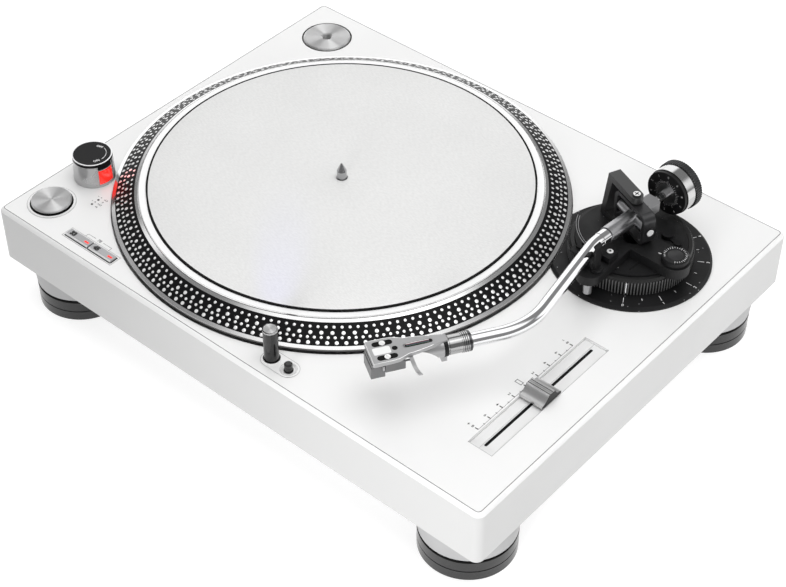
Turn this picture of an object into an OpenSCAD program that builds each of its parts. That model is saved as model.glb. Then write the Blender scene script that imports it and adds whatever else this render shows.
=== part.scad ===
// Direct-drive turntable for DJ use, in millimetres.
// X runs to the right, Y to the back and Z up. The origin is on the ground below the middle of the plinth.
// Heights of pieces on the deck are measured from the flat top of the plinth.

/* [Plinth] */
// Overall width of the plinth
plinth_w = 450; // [446:1:480]
// Overall depth of the plinth
plinth_d = 352; // [350:1:380]
// Height of the plinth from its lower edge to the flat top
plinth_h = 44.9; // [44:0.1:52]
// Thickness of the plinth side walls
plinth_wall = 3.5; // [2.5:0.1:4]
// Radius of the four upright corners
corner_r = 6; // [5.5:0.5:9]
// Width of the bevel round the top, seen from above
bevel_w = 3; // [2:0.1:4]
// Drop of the bevel round the top
bevel_h = 2.55; // [1.5:0.05:3]
// Thickness of the top panel
panel_t = 4; // [3.5:0.1:4.5]
// Open seam between the top panel and the bevel
panel_seam = 0.3; // [0.2:0.05:0.5]
// Thickness of the bottom tray
tray_t = 4; // [3:0.5:5]
// Gap between fixed inserts and the cut-outs that hold them
insert_gap = 0.15; // [0.1:0.05:0.25]

/* [Feet] */
// Distance of the foot centres from the sides of the plinth
foot_from_side = 38; // [37:0.5:45]
// Distance of the front foot centres from the front of the plinth
foot_from_front = 38.7; // [37.5:0.1:46]
// Distance of the rear foot centres from the back of the plinth
foot_from_back = 37.1; // [36.8:0.1:46]
// Height of the feet from the ground to the plinth
foot_h = 40.5; // [40:0.5:48]
// Outer radius of the foot rings
foot_r = 33.8; // [31:0.1:35]
// Height of the lower foot ring
foot_ring_low = 8.4; // [7.5:0.1:9]
// Height of the upper foot ring
foot_ring_high = 9.1; // [8:0.1:9.5]
// Height of the fixed collar above the foot
collar_h = 20.8; // [19:0.1:21]
// Flare of the collar radius towards the plinth
collar_flare = 1.6; // [0.5:0.1:2.5]
// Wall thickness of the collar
collar_wall = 5.3; // [4.5:0.1:6]
// Radius of the threaded foot stem
stem_r = 5; // [4:0.5:6]
// Way that a foot can be screwed out
foot_travel = 6; // [3:0.5:8]

/* [Platter] */
// Distance of the spindle from the left side of the plinth
spindle_from_left = 179; // [176:0.5:180]
// Distance of the spindle from the front of the plinth
spindle_from_front = 176.5; // [174.5:0.5:177]
// Radius of the lower lip of the platter
platter_r = 167.8; // [166:0.1:168]
// Gap between the platter lip and the wall of its well
well_gap = 1.1; // [0.8:0.1:1.5]
// Depth of the well below the deck
well_depth = 12; // [11:0.5:13]
// Wall and floor thickness of the well
well_wall = 2.5; // [2:0.1:3]
// Width of the lip outside the strobe band
lip_w = 3.1; // [2:0.1:4]
// Width of the strobe band, seen from above
band_w = 14.1; // [13:0.1:15.5]
// Width of the bright shoulder inside the strobe band
shoulder_w = 3; // [2.6:0.1:5]
// Width of the flat rim round the mat
rim_w = 5.1; // [3:0.1:7]
// Height of the strobe band's inner edge
band_top = 12; // [11.5:0.1:12.5]
// Height of the strobe band's outer edge
band_low = 4.1; // [3.7:0.1:5]
// Height of the platter rim
rim_top = 13.7; // [13.3:0.1:14.2]
// Height of the floor under the mat
mat_floor = 12.25; // [11.75:0.05:12.4]
// Thickness of the mat
mat_t = 2.5; // [1.5:0.1:3]
// Gap round the edge of the mat
mat_gap = 0.4; // [0.3:0.1:0.8]
// Thickness of the platter plate
plate_t = 4; // [3:0.5:5]
// Distance from the mat's edge in to the rib below the platter
rib_inset = 21.5; // [10:0.5:40]
// Width of the rib below the platter
rib_w = 4; // [3:0.5:8]
// Radius of the record spindle
peg_r = 3.58; // [3.56:0.01:3.6]
// Radius of the spindle's foot inside the platter and the mat
hub_r = 4; // [3.95:0.05:4.2]
// Height of the spindle tip above the deck
spindle_top = 27.5; // [25:0.5:30]
// Height of the spindle's pointed tip
peg_tip = 6.6; // [5:0.1:7]
// Radius of the shaft that runs in the bearing
shaft_r = 3; // [2.8:0.1:3.1]
// Radial play of turning shafts
run_gap = 0.05; // [0.03:0.01:0.08]

/* [Motor] */
// Inner radius of the magnet ring
magnet_in = 46; // [45:0.5:48]
// Outer radius of the magnet ring
magnet_out = 55.8; // [54:0.1:56]
// Number of stator coils
coil_count = 12; // [9:1:15]
// Radius of one coil
coil_r = 6.2; // [5:0.1:6.5]
// Radius of the bearing housing
bearing_r = 9; // [8:0.5:10]

/* [Left controls] */
// Start-stop button centre from the left side of the plinth
start_from_left = 26; // [25:0.5:30]
// Start-stop button centre from the front of the plinth
start_from_front = 30; // [29:0.5:36]
// Radius of the spun disc on the start-stop button
start_r = 14.8; // [13:0.1:15.5]
// Height of the start-stop button above the deck
start_top = 3.1; // [2.5:0.1:4]
// Strobe tower centre from the left side of the plinth
tower_from_left = 26.6; // [25:0.1:28]
// Strobe tower centre from the front of the plinth
tower_from_front = 71.8; // [70:0.1:76]
// Radius of the tower at its foot
tower_r = 15.5; // [14.5:0.1:16]
// Radius of the tower at its top
tower_top_r = 14.75; // [14:0.05:15]
// Height of the tower
tower_h = 20.7; // [19:0.1:24]
// Thickness of the turning cap on the tower
cap_t = 2.4; // [2:0.1:3]
// Direction of the first edge of the tower window
window_from = -28.3; // [-35:0.1:-20]
// Angle that the tower window spans
window_span = 49; // [40:0.5:60]
// Lower edge of the tower window
window_low = 2.3; // [1.5:0.1:4]
// Height of the tower window
window_h = 12.5; // [10:0.1:13]
// Left edge of the pair of speed buttons from the left side of the plinth
speed_from_left = 60.5; // [57:0.1:62]
// Front edge of the speed buttons from the front of the plinth
speed_from_front = 12.4; // [11:0.1:16]
// Length of one speed button
speed_l = 22.9; // [20:0.1:24]
// Depth of a speed button from front to back
speed_d = 6.7; // [6:0.1:7.5]
// Gap between the two speed buttons
speed_gap = 1.2; // [0.8:0.1:2]
// Height of the speed buttons above the deck
speed_top = 1.3; // [1:0.1:2]
// Width of the frame round the speed buttons
speed_frame = 1.4; // [1:0.1:2]
// Play round push buttons
button_gap = 0.3; // [0.2:0.05:0.4]

/* [Lamp] */
// Target lamp centre to the right of the spindle
lamp_from_spindle = 80.3; // [76:0.1:86]
// Target lamp centre from the front of the plinth
lamp_from_front = 17.5; // [16:0.1:19]
// Radius of the target lamp
lamp_r = 5.1; // [4.5:0.1:5.3]
// Height of the raised target lamp above the deck
lamp_top = 27.8; // [24:0.1:30]
// Distance from the lamp to its small button
lamp_button_x = 15.2; // [14.5:0.1:18]
// Radius of the small lamp button
lamp_button_r = 2.85; // [2.5:0.05:3.2]
// Height of the small lamp button above the deck
lamp_button_top = 6; // [4:0.1:7]
// Half width of the tray round the lamp and its button
light_tray_r = 7.5; // [7.2:0.1:8]

/* [Adaptor] */
// Adaptor centre from the left side of the plinth
adaptor_from_left = 36.3; // [35:0.1:38]
// Adaptor centre from the back of the plinth
adaptor_from_back = 35.6; // [34:0.1:38]
// Radius of the record adaptor
adaptor_r = 19.2; // [19:0.05:19.4]
// Height of the adaptor above the deck
adaptor_top = 1; // [0.5:0.1:2]
// Depth of the adaptor dish
dish_depth = 5; // [4:0.1:6]

/* [Tempo slider] */
// Tempo slider centre line from the right side of the plinth
tempo_from_right = 35.9; // [34:0.1:39]
// Front end of the slider recess from the front of the plinth
tempo_from_front = 45; // [41:0.5:51]
// Length of the slider recess
tempo_l = 124.6; // [120:0.1:130]
// Width of the slider recess
tempo_w = 18.8; // [18:0.1:20]
// Depth of the slider recess
tempo_depth = 1.6; // [1:0.1:2]
// Width of the slot in the recess
tempo_slot = 2.2; // [2:0.1:3]
// Way of the slider to either side of its middle
tempo_travel = 44; // [30:0.5:45]
// Length of the slider knob
fader_l = 20; // [16:0.5:22]
// Height of the slider knob above the deck
fader_top = 7.5; // [6:0.1:9]

/* [Tonearm base] */
// Tonearm pivot to the right of the spindle
pivot_right = 200.3; // [199:0.1:202]
// Tonearm pivot behind the spindle
pivot_behind = 80.1; // [79:0.1:83.5]
// Radius of the black disc with the height scale
disc_r = 57.8; // [54:0.1:60]
// Thickness of the black disc
disc_t = 3; // [2:0.1:3.5]
// Outer radius of the knurled height ring
ring_r = 44.2; // [43.5:0.1:45]
// Height of the height ring's top above the deck
ring_top = 16; // [15.5:0.1:16.2]
// Number of grooves round the height ring
ring_teeth = 72; // [48:1:90]
// Depth of the grooves of the height ring
ring_groove = 0.8; // [0.4:0.1:1.2]
// Radius of the arm base inside the height ring
base_r = 39.5; // [38:0.1:40]
// Play between the arm base and the height ring
base_gap = 0.3; // [0.2:0.05:0.4]
// Height of the arm base floor above the deck
base_top = 17.5; // [17.2:0.1:18]
// Height of the two base arms above the deck
arms_top = 25; // [24:0.1:25.5]
// Radius of the cup round the foot of the gimbal
cup_r = 17.6; // [17:0.1:18]
// Height of the cup's rim above the deck
cup_top = 24; // [22:0.1:24.2]
// Way that the arm base can be raised
base_travel = 6; // [3:0.5:6]
// Right base arm end, to the right of the pivot
right_arm_x = 40.4; // [39:0.1:42]
// Right base arm end, in front of the pivot
right_arm_y = 7.6; // [6:0.1:9]
// Radius of the right base arm's end
right_arm_r = 10.9; // [10.5:0.1:11.5]
// Front base arm end, to the right of the pivot
front_arm_x = 2; // [1.5:0.1:2.5]
// Front base arm end, in front of the pivot
front_arm_y = 53.5; // [52:0.1:55]
// Radius of the front base arm's end
front_arm_r = 9.1; // [9:0.1:9.8]
// Radius of the anti-skating knob
skate_r = 9.6; // [8:0.1:10]
// Height of the anti-skating knob
skate_h = 4.5; // [3:0.1:6]

/* [Gimbal] */
// Height of the tonearm axis above the deck
axis_h = 37.3; // [37:0.1:38]
// Direction of the gimbal's cross axis
cross_dir = 157; // [154:1:160]
// Half width of the gimbal ring
gimbal_w = 19; // [18.5:0.1:19.5]
// Lower edge of the gimbal ring above the deck
gimbal_low = 24.6; // [24.5:0.1:25]
// Upper edge of the gimbal ring above the deck
gimbal_top = 50; // [49:0.1:50.4]
// Depth of the gimbal ring from front to back
gimbal_d = 9.2; // [8:0.1:10]
// Wall thickness of the gimbal ring
gimbal_wall = 3; // [2.5:0.1:3.5]
// Lower face of the bearing bridge above the deck
bridge_low = 51; // [50.8:0.1:51.5]
// Upper face of the bearing bridge above the deck
bridge_top = 56; // [55:0.1:58]
// Width of the bearing bridge
bridge_w = 9.3; // [8:0.1:10.5]
// Distance from the pivot to the bridge's outer edge at the top
bridge_out = 29; // [28.5:0.1:30]
// How far the bridge's leg slants outwards
bridge_slant = 5.7; // [4:0.1:6.5]

/* [Tonearm] */
// Direction of the tube behind the pivot
rear_dir = 85; // [84:0.5:86]
// Direction of the middle stretch of the tube
middle_dir = -79.8; // [-81:0.1:-78]
// Direction of the headshell
head_dir = -122; // [-124:0.5:-120]
// Radius of the tube next to the pivot
pivot_tube_r = 6; // [5.5:0.1:6.5]
// Length of the tube next to the pivot
pivot_tube_l = 29; // [26:0.5:31]
// Radius of the S-shaped tube
tube_r = 4.8; // [4:0.1:5]
// Distance from the pivot to the tube's first bend
bend_one = 42.6; // [42.4:0.1:44]
// Distance between the tube's two bends
bend_two = 94.9; // [90:0.1:100]
// Distance from the second bend to the locking collar
bend_end = 39.8; // [36:0.1:42]
// Radius of the first bend
bend_one_r = 40; // [34:1:42]
// Radius of the second bend
bend_two_r = 54; // [45:1:58]
// Radius of the locking collar
lock_r = 6.5; // [6:0.1:7]
// Length of the locking collar
lock_l = 16.4; // [14:0.1:18]
// Radius of the counterweight
weight_r = 17.3; // [16.5:0.1:17.4]
// Radius of the ribbed ring at the back of the counterweight
weight_ring_r = 17.9; // [17:0.1:18]
// Distance from the pivot to the front of the counterweight
weight_from = 34.6; // [34.4:0.1:36]
// Distance from the pivot to the back of the counterweight
weight_to = 51.7; // [50:0.1:54]
// Radius of the numbered dial ring
dial_r = 16.7; // [16:0.1:16.9]
// Thickness of the numbered dial ring
dial_t = 2.7; // [2:0.1:3.5]
// Radius of the shaft that carries the counterweight
weight_shaft_r = 3.25; // [3:0.05:3.5]

/* [Headshell] */
// Length of the headshell
shell_l = 51.5; // [50:0.5:54]
// Width of the headshell at its front
shell_w = 21.6; // [20.5:0.1:23]
// Height of the headshell's top above the tube axis
shell_top = 7.8; // [7:0.1:8.5]
// Thickness of the headshell plate
shell_t = 3; // [2.5:0.1:3.5]
// Distance from the headshell's neck to the middle of the mounting slots
slot_s = 41; // [40:0.1:42]
// Distance between the two mounting slots
slot_pitch = 12.7; // [12.5:0.1:12.9]
// Overall length of a mounting slot
slot_l = 13; // [10:0.1:14]
// Width of a mounting slot
slot_w = 2.9; // [2.6:0.1:3]
// Width of the pickup cartridge
cart_w = 16; // [14:0.1:17]
// Height of the front block of the pickup
cart_h = 12.2; // [10:0.1:13]

/* [Hidden] */
$fn = 96;
deck_z = foot_h + plinth_h;
foot_x = plinth_w / 2 - foot_from_side;
foot_front_y = plinth_d / 2 - foot_from_front;
foot_rear_y = plinth_d / 2 - foot_from_back;
platter_x = spindle_from_left - plinth_w / 2;
platter_y = spindle_from_front - plinth_d / 2;
start_x = plinth_w / 2 - start_from_left;
start_y = plinth_d / 2 - start_from_front;
tower_x = plinth_w / 2 - tower_from_left;
tower_y = plinth_d / 2 - tower_from_front;
speed_x = plinth_w / 2 - speed_from_left;
speed_y = plinth_d / 2 - speed_from_front;
lamp_x = platter_x + lamp_from_spindle;
lamp_y = plinth_d / 2 - lamp_from_front;
adaptor_x = plinth_w / 2 - adaptor_from_left;
adaptor_y = plinth_d / 2 - adaptor_from_back;
tempo_x = plinth_w / 2 - tempo_from_right;
tempo_front = plinth_d / 2 - tempo_from_front;
pivot_x = platter_x + pivot_right;
pivot_y = platter_y + pivot_behind;
band_r = platter_r - lip_w - band_w;
rim_r = band_r - shoulder_w;
mat_seat_r = rim_r - rim_w;
well_r = platter_r + well_gap;
wall_in = plinth_wall + panel_seam;
bend_lap = 0.6;
bend_step = 0.03;
skirt_z = foot_h;
collar_low = foot_h - collar_h;
collar_bore = foot_r - collar_wall;
foot_top = foot_ring_low + foot_ring_high + 0.4;
stem_head = 4;
tower_cap_z = tower_h - cap_t;
ring_in = base_r + base_gap;
base_low = -12;
sleeve_r = base_r + 0.4;
sleeve_out = sleeve_r + 0.8;
axis_z = deck_z + axis_h;
front_dir = rear_dir - 180;
gimbal_in = gimbal_w - gimbal_wall;
shaft_len = weight_to - 2;
sleeve_wall_r = 8;
adaptor_floor = -dish_depth;
lamp_collar = 1.2;
lock_from = 0;
plug_gap = 0.3;
under_plate = shell_top - shell_t;

// Places

module on_deck(x, y, z) {
    translate([x, y, deck_z + z]) children();
}

module at_pivot(z) {
    translate([pivot_x, pivot_y, deck_z + z]) children();
}

// The tube axis with +X pointing to the counterweight
module on_arm() {
    translate([pivot_x, pivot_y, axis_z]) rotate([0, 0, rear_dir]) children();
}

// The cross axis with +X pointing along it
module on_cross(z) {
    translate([pivot_x, pivot_y, deck_z + z]) rotate([0, 0, cross_dir]) children();
}

function along(p, dir, way) = [p[0] + way * cos(dir), p[1] + way * sin(dir)];

turn_one = middle_dir - front_dir;
turn_two = middle_dir - head_dir;
cut_one = bend_one_r * tan(turn_one / 2);
cut_two = bend_two_r * tan(turn_two / 2);
bend_one_at = along([0, 0], front_dir, bend_one);
bend_two_at = along(bend_one_at, middle_dir, bend_two);
collar_at = along(bend_two_at, head_dir, bend_end);
neck_at = along(collar_at, head_dir, lock_l + plug_gap);

// The headshell axis with +X pointing to its front, starting at its neck
module on_head() {
    translate([pivot_x + neck_at[0], pivot_y + neck_at[1], axis_z])
        rotate([0, 0, head_dir]) children();
}

// The locking collar axis with +X pointing to the headshell
module on_lock() {
    translate([pivot_x + collar_at[0], pivot_y + collar_at[1], axis_z])
        rotate([0, 0, head_dir]) children();
}

// Shapes

module rounded(w, d, r) {
    square([w - 2 * r, d], center = true);
    square([w, d - 2 * r], center = true);
    for (x = [-1, 1], y = [-1, 1])
        translate([x * (w / 2 - r), y * (d / 2 - r)]) circle(r);
}

module obround(way, r) {
    circle(r);
    translate([way, 0]) circle(r);
    translate([0, -r]) square([way, 2 * r]);
}

module tube(out, bore, h) {
    difference() {
        cylinder(r = out, h = h);
        translate([0, 0, -1]) cylinder(r = bore, h = h + 2);
    }
}

// A cylinder along X from one distance to another
module rod(r, from, to) {
    translate([from, 0, 0]) rotate([0, 90, 0]) cylinder(r = r, h = to - from);
}

// Plinth

module wall_profile() {
    polygon([[0, -plinth_h], [0, -bevel_h], [bevel_w, 0], [bevel_w, -panel_t],
        [corner_r, -panel_t], [corner_r, -panel_t - 2], [plinth_wall, -panel_t - 4],
        [plinth_wall, -plinth_h]]);
}

module wall_run(length) {
    translate([-length / 2, 0, 0]) rotate([90, 0, 90]) linear_extrude(length) wall_profile();
}

module wall_corner() {
    rotate([0, 0, 180]) rotate_extrude(angle = 90)
        translate([corner_r, 0]) mirror([1, 0]) wall_profile();
}

jack_from_right = 155;
jack_w = 74;
jack_h = 26;
jack_z = -24;
jack_depth = 16;
jack_pitch = 18;
inlet_from_left = 75;
inlet_w = 27;
inlet_h = 15;
inlet_z = -26;
jack_x = plinth_w / 2 - jack_from_right;
inlet_x = inlet_from_left - plinth_w / 2;
jack_first = jack_x - jack_w / 2 + 15;
ground_x = jack_x + jack_w / 2 - 15;

module plinth_shell() {
    color("#e4e4e2") difference() {
        translate([0, 0, deck_z]) {
            for (s = [0, 1]) rotate([0, 0, 180 * s]) {
                translate([0, -plinth_d / 2, 0]) wall_run(plinth_w - 2 * corner_r);
                rotate([0, 0, 90]) translate([0, -plinth_w / 2, 0]) wall_run(plinth_d - 2 * corner_r);
                translate([-plinth_w / 2 + corner_r, -plinth_d / 2 + corner_r, 0]) wall_corner();
                rotate([0, 0, 90]) translate([-plinth_d / 2 + corner_r, -plinth_w / 2 + corner_r, 0])
                    wall_corner();
            }
        }
        on_deck(jack_x, plinth_d / 2, jack_z) cube([jack_w, 20, jack_h], center = true);
        on_deck(inlet_x, plinth_d / 2, inlet_z) cube([inlet_w, 20, inlet_h], center = true);
        on_deck(platter_x, platter_y, -well_depth - well_wall - 1)
            cylinder(r = well_r + well_wall + 2 * insert_gap, h = well_depth + well_wall + 1);
    }
}

module top_panel() {
    edge = 2 * (bevel_w + panel_seam);
    color("#f4f4f2") difference() {
        union() {
            on_deck(0, 0, -panel_t) linear_extrude(panel_t)
                rounded(plinth_w - edge, plinth_d - edge, corner_r - bevel_w - panel_seam);
            on_deck(platter_x, platter_y, -well_depth - well_wall)
                cylinder(r = well_r + well_wall, h = well_depth + well_wall - 1);
        }
        on_deck(platter_x, platter_y, -well_depth) cylinder(r = well_r, h = well_depth + 1);
        on_deck(platter_x, platter_y, -well_depth - 5) cylinder(r = bearing_r + insert_gap, h = 10);
        on_deck(pivot_x, pivot_y, -panel_t - 1) cylinder(r = sleeve_out + insert_gap, h = panel_t + 2);
        on_deck(-start_x, -start_y, -panel_t - 1)
            cylinder(r = start_r + 2.7 + insert_gap, h = panel_t + 2);
        on_deck(-adaptor_x, adaptor_y, -panel_t - 1)
            cylinder(r = adaptor_r + 1 + insert_gap, h = panel_t + 2);
        on_deck(lamp_x, -lamp_y, -panel_t - 1) linear_extrude(panel_t + 2)
            obround(lamp_button_x, light_tray_r + insert_gap);
        on_deck(tempo_x - tempo_w / 2, -tempo_front, -panel_t - 1)
            cube([tempo_w, tempo_l, panel_t + 2]);
        on_deck(-speed_x - speed_frame - insert_gap, -speed_y - speed_frame - insert_gap, -panel_t - 1)
            cube([2 * speed_l + speed_gap + 2 * (speed_frame + insert_gap),
                speed_d + 2 * (speed_frame + insert_gap), panel_t + 2]);
    }
}

module foot_places() {
    for (x = [-1, 1]) {
        translate([x * foot_x, -foot_front_y, 0]) children();
        translate([x * foot_x, foot_rear_y, 0]) children();
    }
}

board_x = platter_x + 16;
board_y = 91 - plinth_d / 2;
board_w = 150;
board_d = 70;
board_z = -36;

module base_tray() {
    color("#c9cac8") difference() {
        union() {
            translate([0, 0, skirt_z]) linear_extrude(tray_t)
                rounded(plinth_w - 2 * wall_in, plinth_d - 2 * wall_in, corner_r - wall_in + 0.5);
            foot_places() {
                rotate_extrude() polygon([[collar_bore, collar_low], [foot_r, collar_low],
                    [foot_r + collar_flare, skirt_z - 1], [foot_r + collar_flare, skirt_z - 0.1],
                    [foot_r - 1, skirt_z - 0.1], [foot_r - 1, skirt_z + 1],
                    [collar_bore, skirt_z + 1]]);
                translate([0, 0, skirt_z - 5]) cylinder(r = stem_r + 5, h = tray_t + 9);
            }
            for (x = [-1, 1], y = [-1, 1])
                on_deck(board_x + x * (board_w / 2 - 6), board_y + y * (board_d / 2 - 6), -plinth_h + 1)
                    cylinder(r = 3.5, h = plinth_h + board_z - 1);
        }
        foot_places() cylinder(r = stem_r + run_gap, h = 80);
    }
}

supply_w = 104;
supply_d = 64;
supply_from_back = 81;

module power_supply() {
    color("#9aa0a0") on_deck(inlet_x, plinth_d / 2 - supply_from_back, -plinth_h + tray_t) {
        linear_extrude(2) rounded(supply_w, supply_d, 4);
        translate([12 - supply_w / 2, 6 - supply_d / 2, 1]) cube([supply_w / 2, supply_d - 12, 19]);
        translate([supply_w / 2 - 32, 10 - supply_d / 2, 1]) cube([26, supply_d - 20, 14]);
    }
}

module main_board() {
    color("#2f6b45") {
        on_deck(board_x, board_y, board_z) linear_extrude(1.6) rounded(board_w, board_d, 3);
        on_deck(board_x - 30, board_y - 12, board_z + 1) cube([26, 26, 3.5]);
        on_deck(board_x + 30, board_y + 8, board_z + 1) cube([14, 20, 9]);
        for (i = [0:3])
            on_deck(board_x - 50 + 12 * i, board_y + 24, board_z + 1) cylinder(r = 4, h = 12);
    }
}

module foot(x, y) {
    color("#a9abac") translate([x, y, 0]) difference() {
        rotate_extrude() polygon([[0, 0], [foot_r - 0.6, 0], [foot_r, 0.6], [foot_r, foot_ring_low - 0.2],
            [foot_r - 0.6, foot_ring_low], [foot_r - 0.6, foot_ring_low + 0.4],
            [foot_r, foot_ring_low + 0.6], [foot_r, foot_top - 0.8], [foot_r - 0.8, foot_top],
            [collar_bore - 0.5, foot_top], [collar_bore - 0.5, foot_top + 12], [0, foot_top + 12]]);
        translate([0, 0, stem_head]) cylinder(r = stem_r + 4.3, h = 3.2);
        translate([0, 0, stem_head]) cylinder(r = stem_r + run_gap, h = 60);
    }
}

module stem(x, y) {
    color("#8d8f90") translate([x, y, stem_head + 0.1]) {
        cylinder(r = stem_r + 4, h = 2.9);
        cylinder(r = stem_r, h = skirt_z + tray_t + 4 + foot_travel + 2 - stem_head);
    }
}

module foot_fl() foot(-foot_x, -foot_front_y);
module foot_fr() foot(foot_x, -foot_front_y);
module foot_rl() foot(-foot_x, foot_rear_y);
module foot_rr() foot(foot_x, foot_rear_y);
module stem_fl() stem(-foot_x, -foot_front_y);
module stem_fr() stem(foot_x, -foot_front_y);
module stem_rl() stem(-foot_x, foot_rear_y);
module stem_rr() stem(foot_x, foot_rear_y);

// Back of the plinth

module jack_bay() {
    color("#3a3b3d") difference() {
        on_deck(jack_x - jack_w / 2 + insert_gap, plinth_d / 2 - jack_depth - 2.5, jack_z - jack_h / 2 + insert_gap)
            cube([jack_w - 2 * insert_gap, jack_depth + 2.2, jack_h - 2 * insert_gap]);
        on_deck(jack_x - jack_w / 2 + 2, plinth_d / 2 - jack_depth, jack_z - jack_h / 2 + 2)
            cube([jack_w - 4, jack_depth + 2, jack_h - 4]);
        for (i = [0, 1]) on_deck(jack_first + jack_pitch * i, plinth_d / 2, jack_z)
            rotate([90, 0, 0]) cylinder(r = 3.5, h = 40);
        on_deck(ground_x, plinth_d / 2, jack_z) rotate([90, 0, 0]) cylinder(r = 2, h = 40);
    }
}

// A rod that runs from the back panel towards the rear, given its radius and both depths
module rear_rod(x, r, from, to) {
    on_deck(x, plinth_d / 2 - to, jack_z) rotate([-90, 0, 0]) cylinder(r = r, h = to - from);
}

module output_jacks() {
    color("#b9bbbd") {
        for (i = [0, 1]) difference() {
            union() {
                rear_rod(jack_first + jack_pitch * i, 4.15, 5, jack_depth);
                rear_rod(jack_first + jack_pitch * i, 5.5, jack_depth - 1.5, jack_depth);
                rear_rod(jack_first + jack_pitch * i, 3.4, jack_depth, jack_depth + 8);
            }
            rear_rod(jack_first + jack_pitch * i, 1.7, 0, jack_depth - 2);
        }
        rear_rod(ground_x, 4, jack_depth - 3, jack_depth);
        rear_rod(ground_x, 1.9, 4, jack_depth + 6);
    }
}

module ground_nut() {
    color("#c9cacb") difference() {
        on_deck(ground_x, plinth_d / 2 - jack_depth + 10, jack_z) rotate([90, 0, 0])
            linear_extrude(6) polygon([for (i = [0:47]) let (r = i % 4 < 2 ? 5 : 4.6)
                [r * cos(7.5 * i), r * sin(7.5 * i)]]);
        rear_rod(ground_x, 1.9 + run_gap, 0, 20);
    }
}

module mains_inlet() {
    color("#26272a") {
        difference() {
            on_deck(inlet_x - inlet_w / 2 + insert_gap, plinth_d / 2 - 18, inlet_z - inlet_h / 2 + insert_gap)
                cube([inlet_w - 2 * insert_gap, 17.7, inlet_h - 2 * insert_gap]);
            on_deck(inlet_x - 4.5, plinth_d / 2 + 1, inlet_z) rotate([90, 0, 0])
                linear_extrude(15) obround(9, 4.6);
        }
        for (x = [-4.3, 4.3]) on_deck(inlet_x + x, plinth_d / 2 - 4, inlet_z)
            rotate([90, 0, 0]) cylinder(r = 1.15, h = 12);
    }
}

// Motor and platter

module bearing_housing() {
    color("#b9a25c") on_deck(platter_x, platter_y, -36) difference() {
        union() {
            cylinder(r = bearing_r, h = 31.7);
            translate([0, 0, 36 - well_depth]) cylinder(r = 20, h = 3);
        }
        translate([0, 0, 1.5]) cylinder(r = shaft_r + run_gap, h = 40);
    }
}

module motor_stator() {
    color("#b56a3a") on_deck(platter_x, platter_y, -well_depth) {
        tube(magnet_in - 2, 20.5, 3);
        for (i = [0:coil_count - 1]) rotate([0, 0, i * 360 / coil_count]) translate([33.5, 0, 2.5])
            tube(coil_r, 2.4, 6.5);
    }
}

module rotor_magnet() {
    color("#55585a") on_deck(platter_x, platter_y, -8)
        tube(magnet_out, magnet_in, 8 + mat_floor - plate_t);
}

module spindle() {
    color("#d7d8d9") on_deck(platter_x, platter_y, 0) {
        translate([0, 0, -33.5]) cylinder(r = shaft_r, h = 31);
        translate([0, 0, -4]) cylinder(r = 12, h = 3);
        translate([0, 0, -1]) cylinder(r = hub_r, h = mat_floor + mat_t + 1.1);
        translate([0, 0, mat_floor + mat_t + 0.1])
            cylinder(r = peg_r, h = spindle_top - peg_tip - 0.1 - mat_floor - mat_t);
        translate([0, 0, spindle_top - peg_tip]) cylinder(r1 = peg_r, r2 = 0.6, h = peg_tip);
    }
}

module platter() {
    under = mat_floor - plate_t;
    rib_r = mat_seat_r - rib_inset - rib_w;
    color("#d9dadb") on_deck(platter_x, platter_y, 0) rotate_extrude()
        polygon([[hub_r + run_gap, -1], [14, -1], [16, under], [magnet_out + 0.2, under],
            [magnet_out + 0.2, 2], [magnet_out + 5.4, 2], [magnet_out + 6.4, under],
            [rib_r, under], [rib_r + 0.5, 3.5], [rib_r + rib_w - 0.5, 3.5], [rib_r + rib_w, under],
            [band_r - 8, under],
            [platter_r - 7.5, 2.2], [platter_r - 7, 1], [platter_r - 0.6, 1], [platter_r, 1.6],
            [platter_r, 3.3], [platter_r - lip_w, band_low], [band_r, band_top],
            [rim_r + 0.8, rim_top - 0.6], [rim_r + 0.3, rim_top - 0.8], [rim_r, rim_top],
            [mat_seat_r, rim_top], [mat_seat_r, mat_floor], [hub_r + run_gap, mat_floor]]);
}

module slipmat() {
    color("#e9eae9") on_deck(platter_x, platter_y, mat_floor)
        tube(mat_seat_r - mat_gap, hub_r + 0.25, mat_t);
}

// Left controls

module start_bezel() {
    color("#e6e6e4") on_deck(-start_x, -start_y, -8) difference() {
        cylinder(r = start_r + 2.7, h = 8.25);
        translate([0, 0, 1.5]) cylinder(r = start_r + 0.8, h = 10);
    }
}

module start_stop_button() {
    color("#cfd0d1") on_deck(-start_x, -start_y, -4.5) {
        cylinder(r = start_r + 0.4, h = 4.5 + start_top - 1.4);
        translate([0, 0, 3 + start_top]) cylinder(r = start_r, h = 1);
        translate([0, 0, 4 + start_top]) cylinder(r1 = start_r, r2 = start_r - 0.5, h = 0.5);
    }
}

function tower_at(z) = tower_r - (tower_r - tower_top_r) * z / tower_h;

module window_sector(r_low, r_high, low, high, in, ease) {
    rotate([0, 0, window_from + ease]) rotate_extrude(angle = window_span - 2 * ease)
        polygon([[in, low], [r_low, low], [r_high, high], [in, high]]);
}

module strobe_tower() {
    color("#c4c5c6") on_deck(-tower_x, -tower_y, 0) difference() {
        cylinder(r1 = tower_r, r2 = tower_at(tower_cap_z - 0.2), h = tower_cap_z - 0.2);
        translate([0, 0, -1]) cylinder(r = 12.5, h = tower_cap_z - 0.7);
        translate([0, 0, -1]) cylinder(r = 3 + run_gap, h = tower_h);
        window_sector(20, 20, window_low, window_low + window_h, 11, 0);
    }
}

module strobe_window() {
    low = window_low + 0.2;
    high = window_low + window_h - 0.2;
    color("#e2463a") on_deck(-tower_x, -tower_y, 0)
        window_sector(tower_at(low) - 0.2, tower_at(high) - 0.2, low, high, 12.6, 0.6);
}

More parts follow.
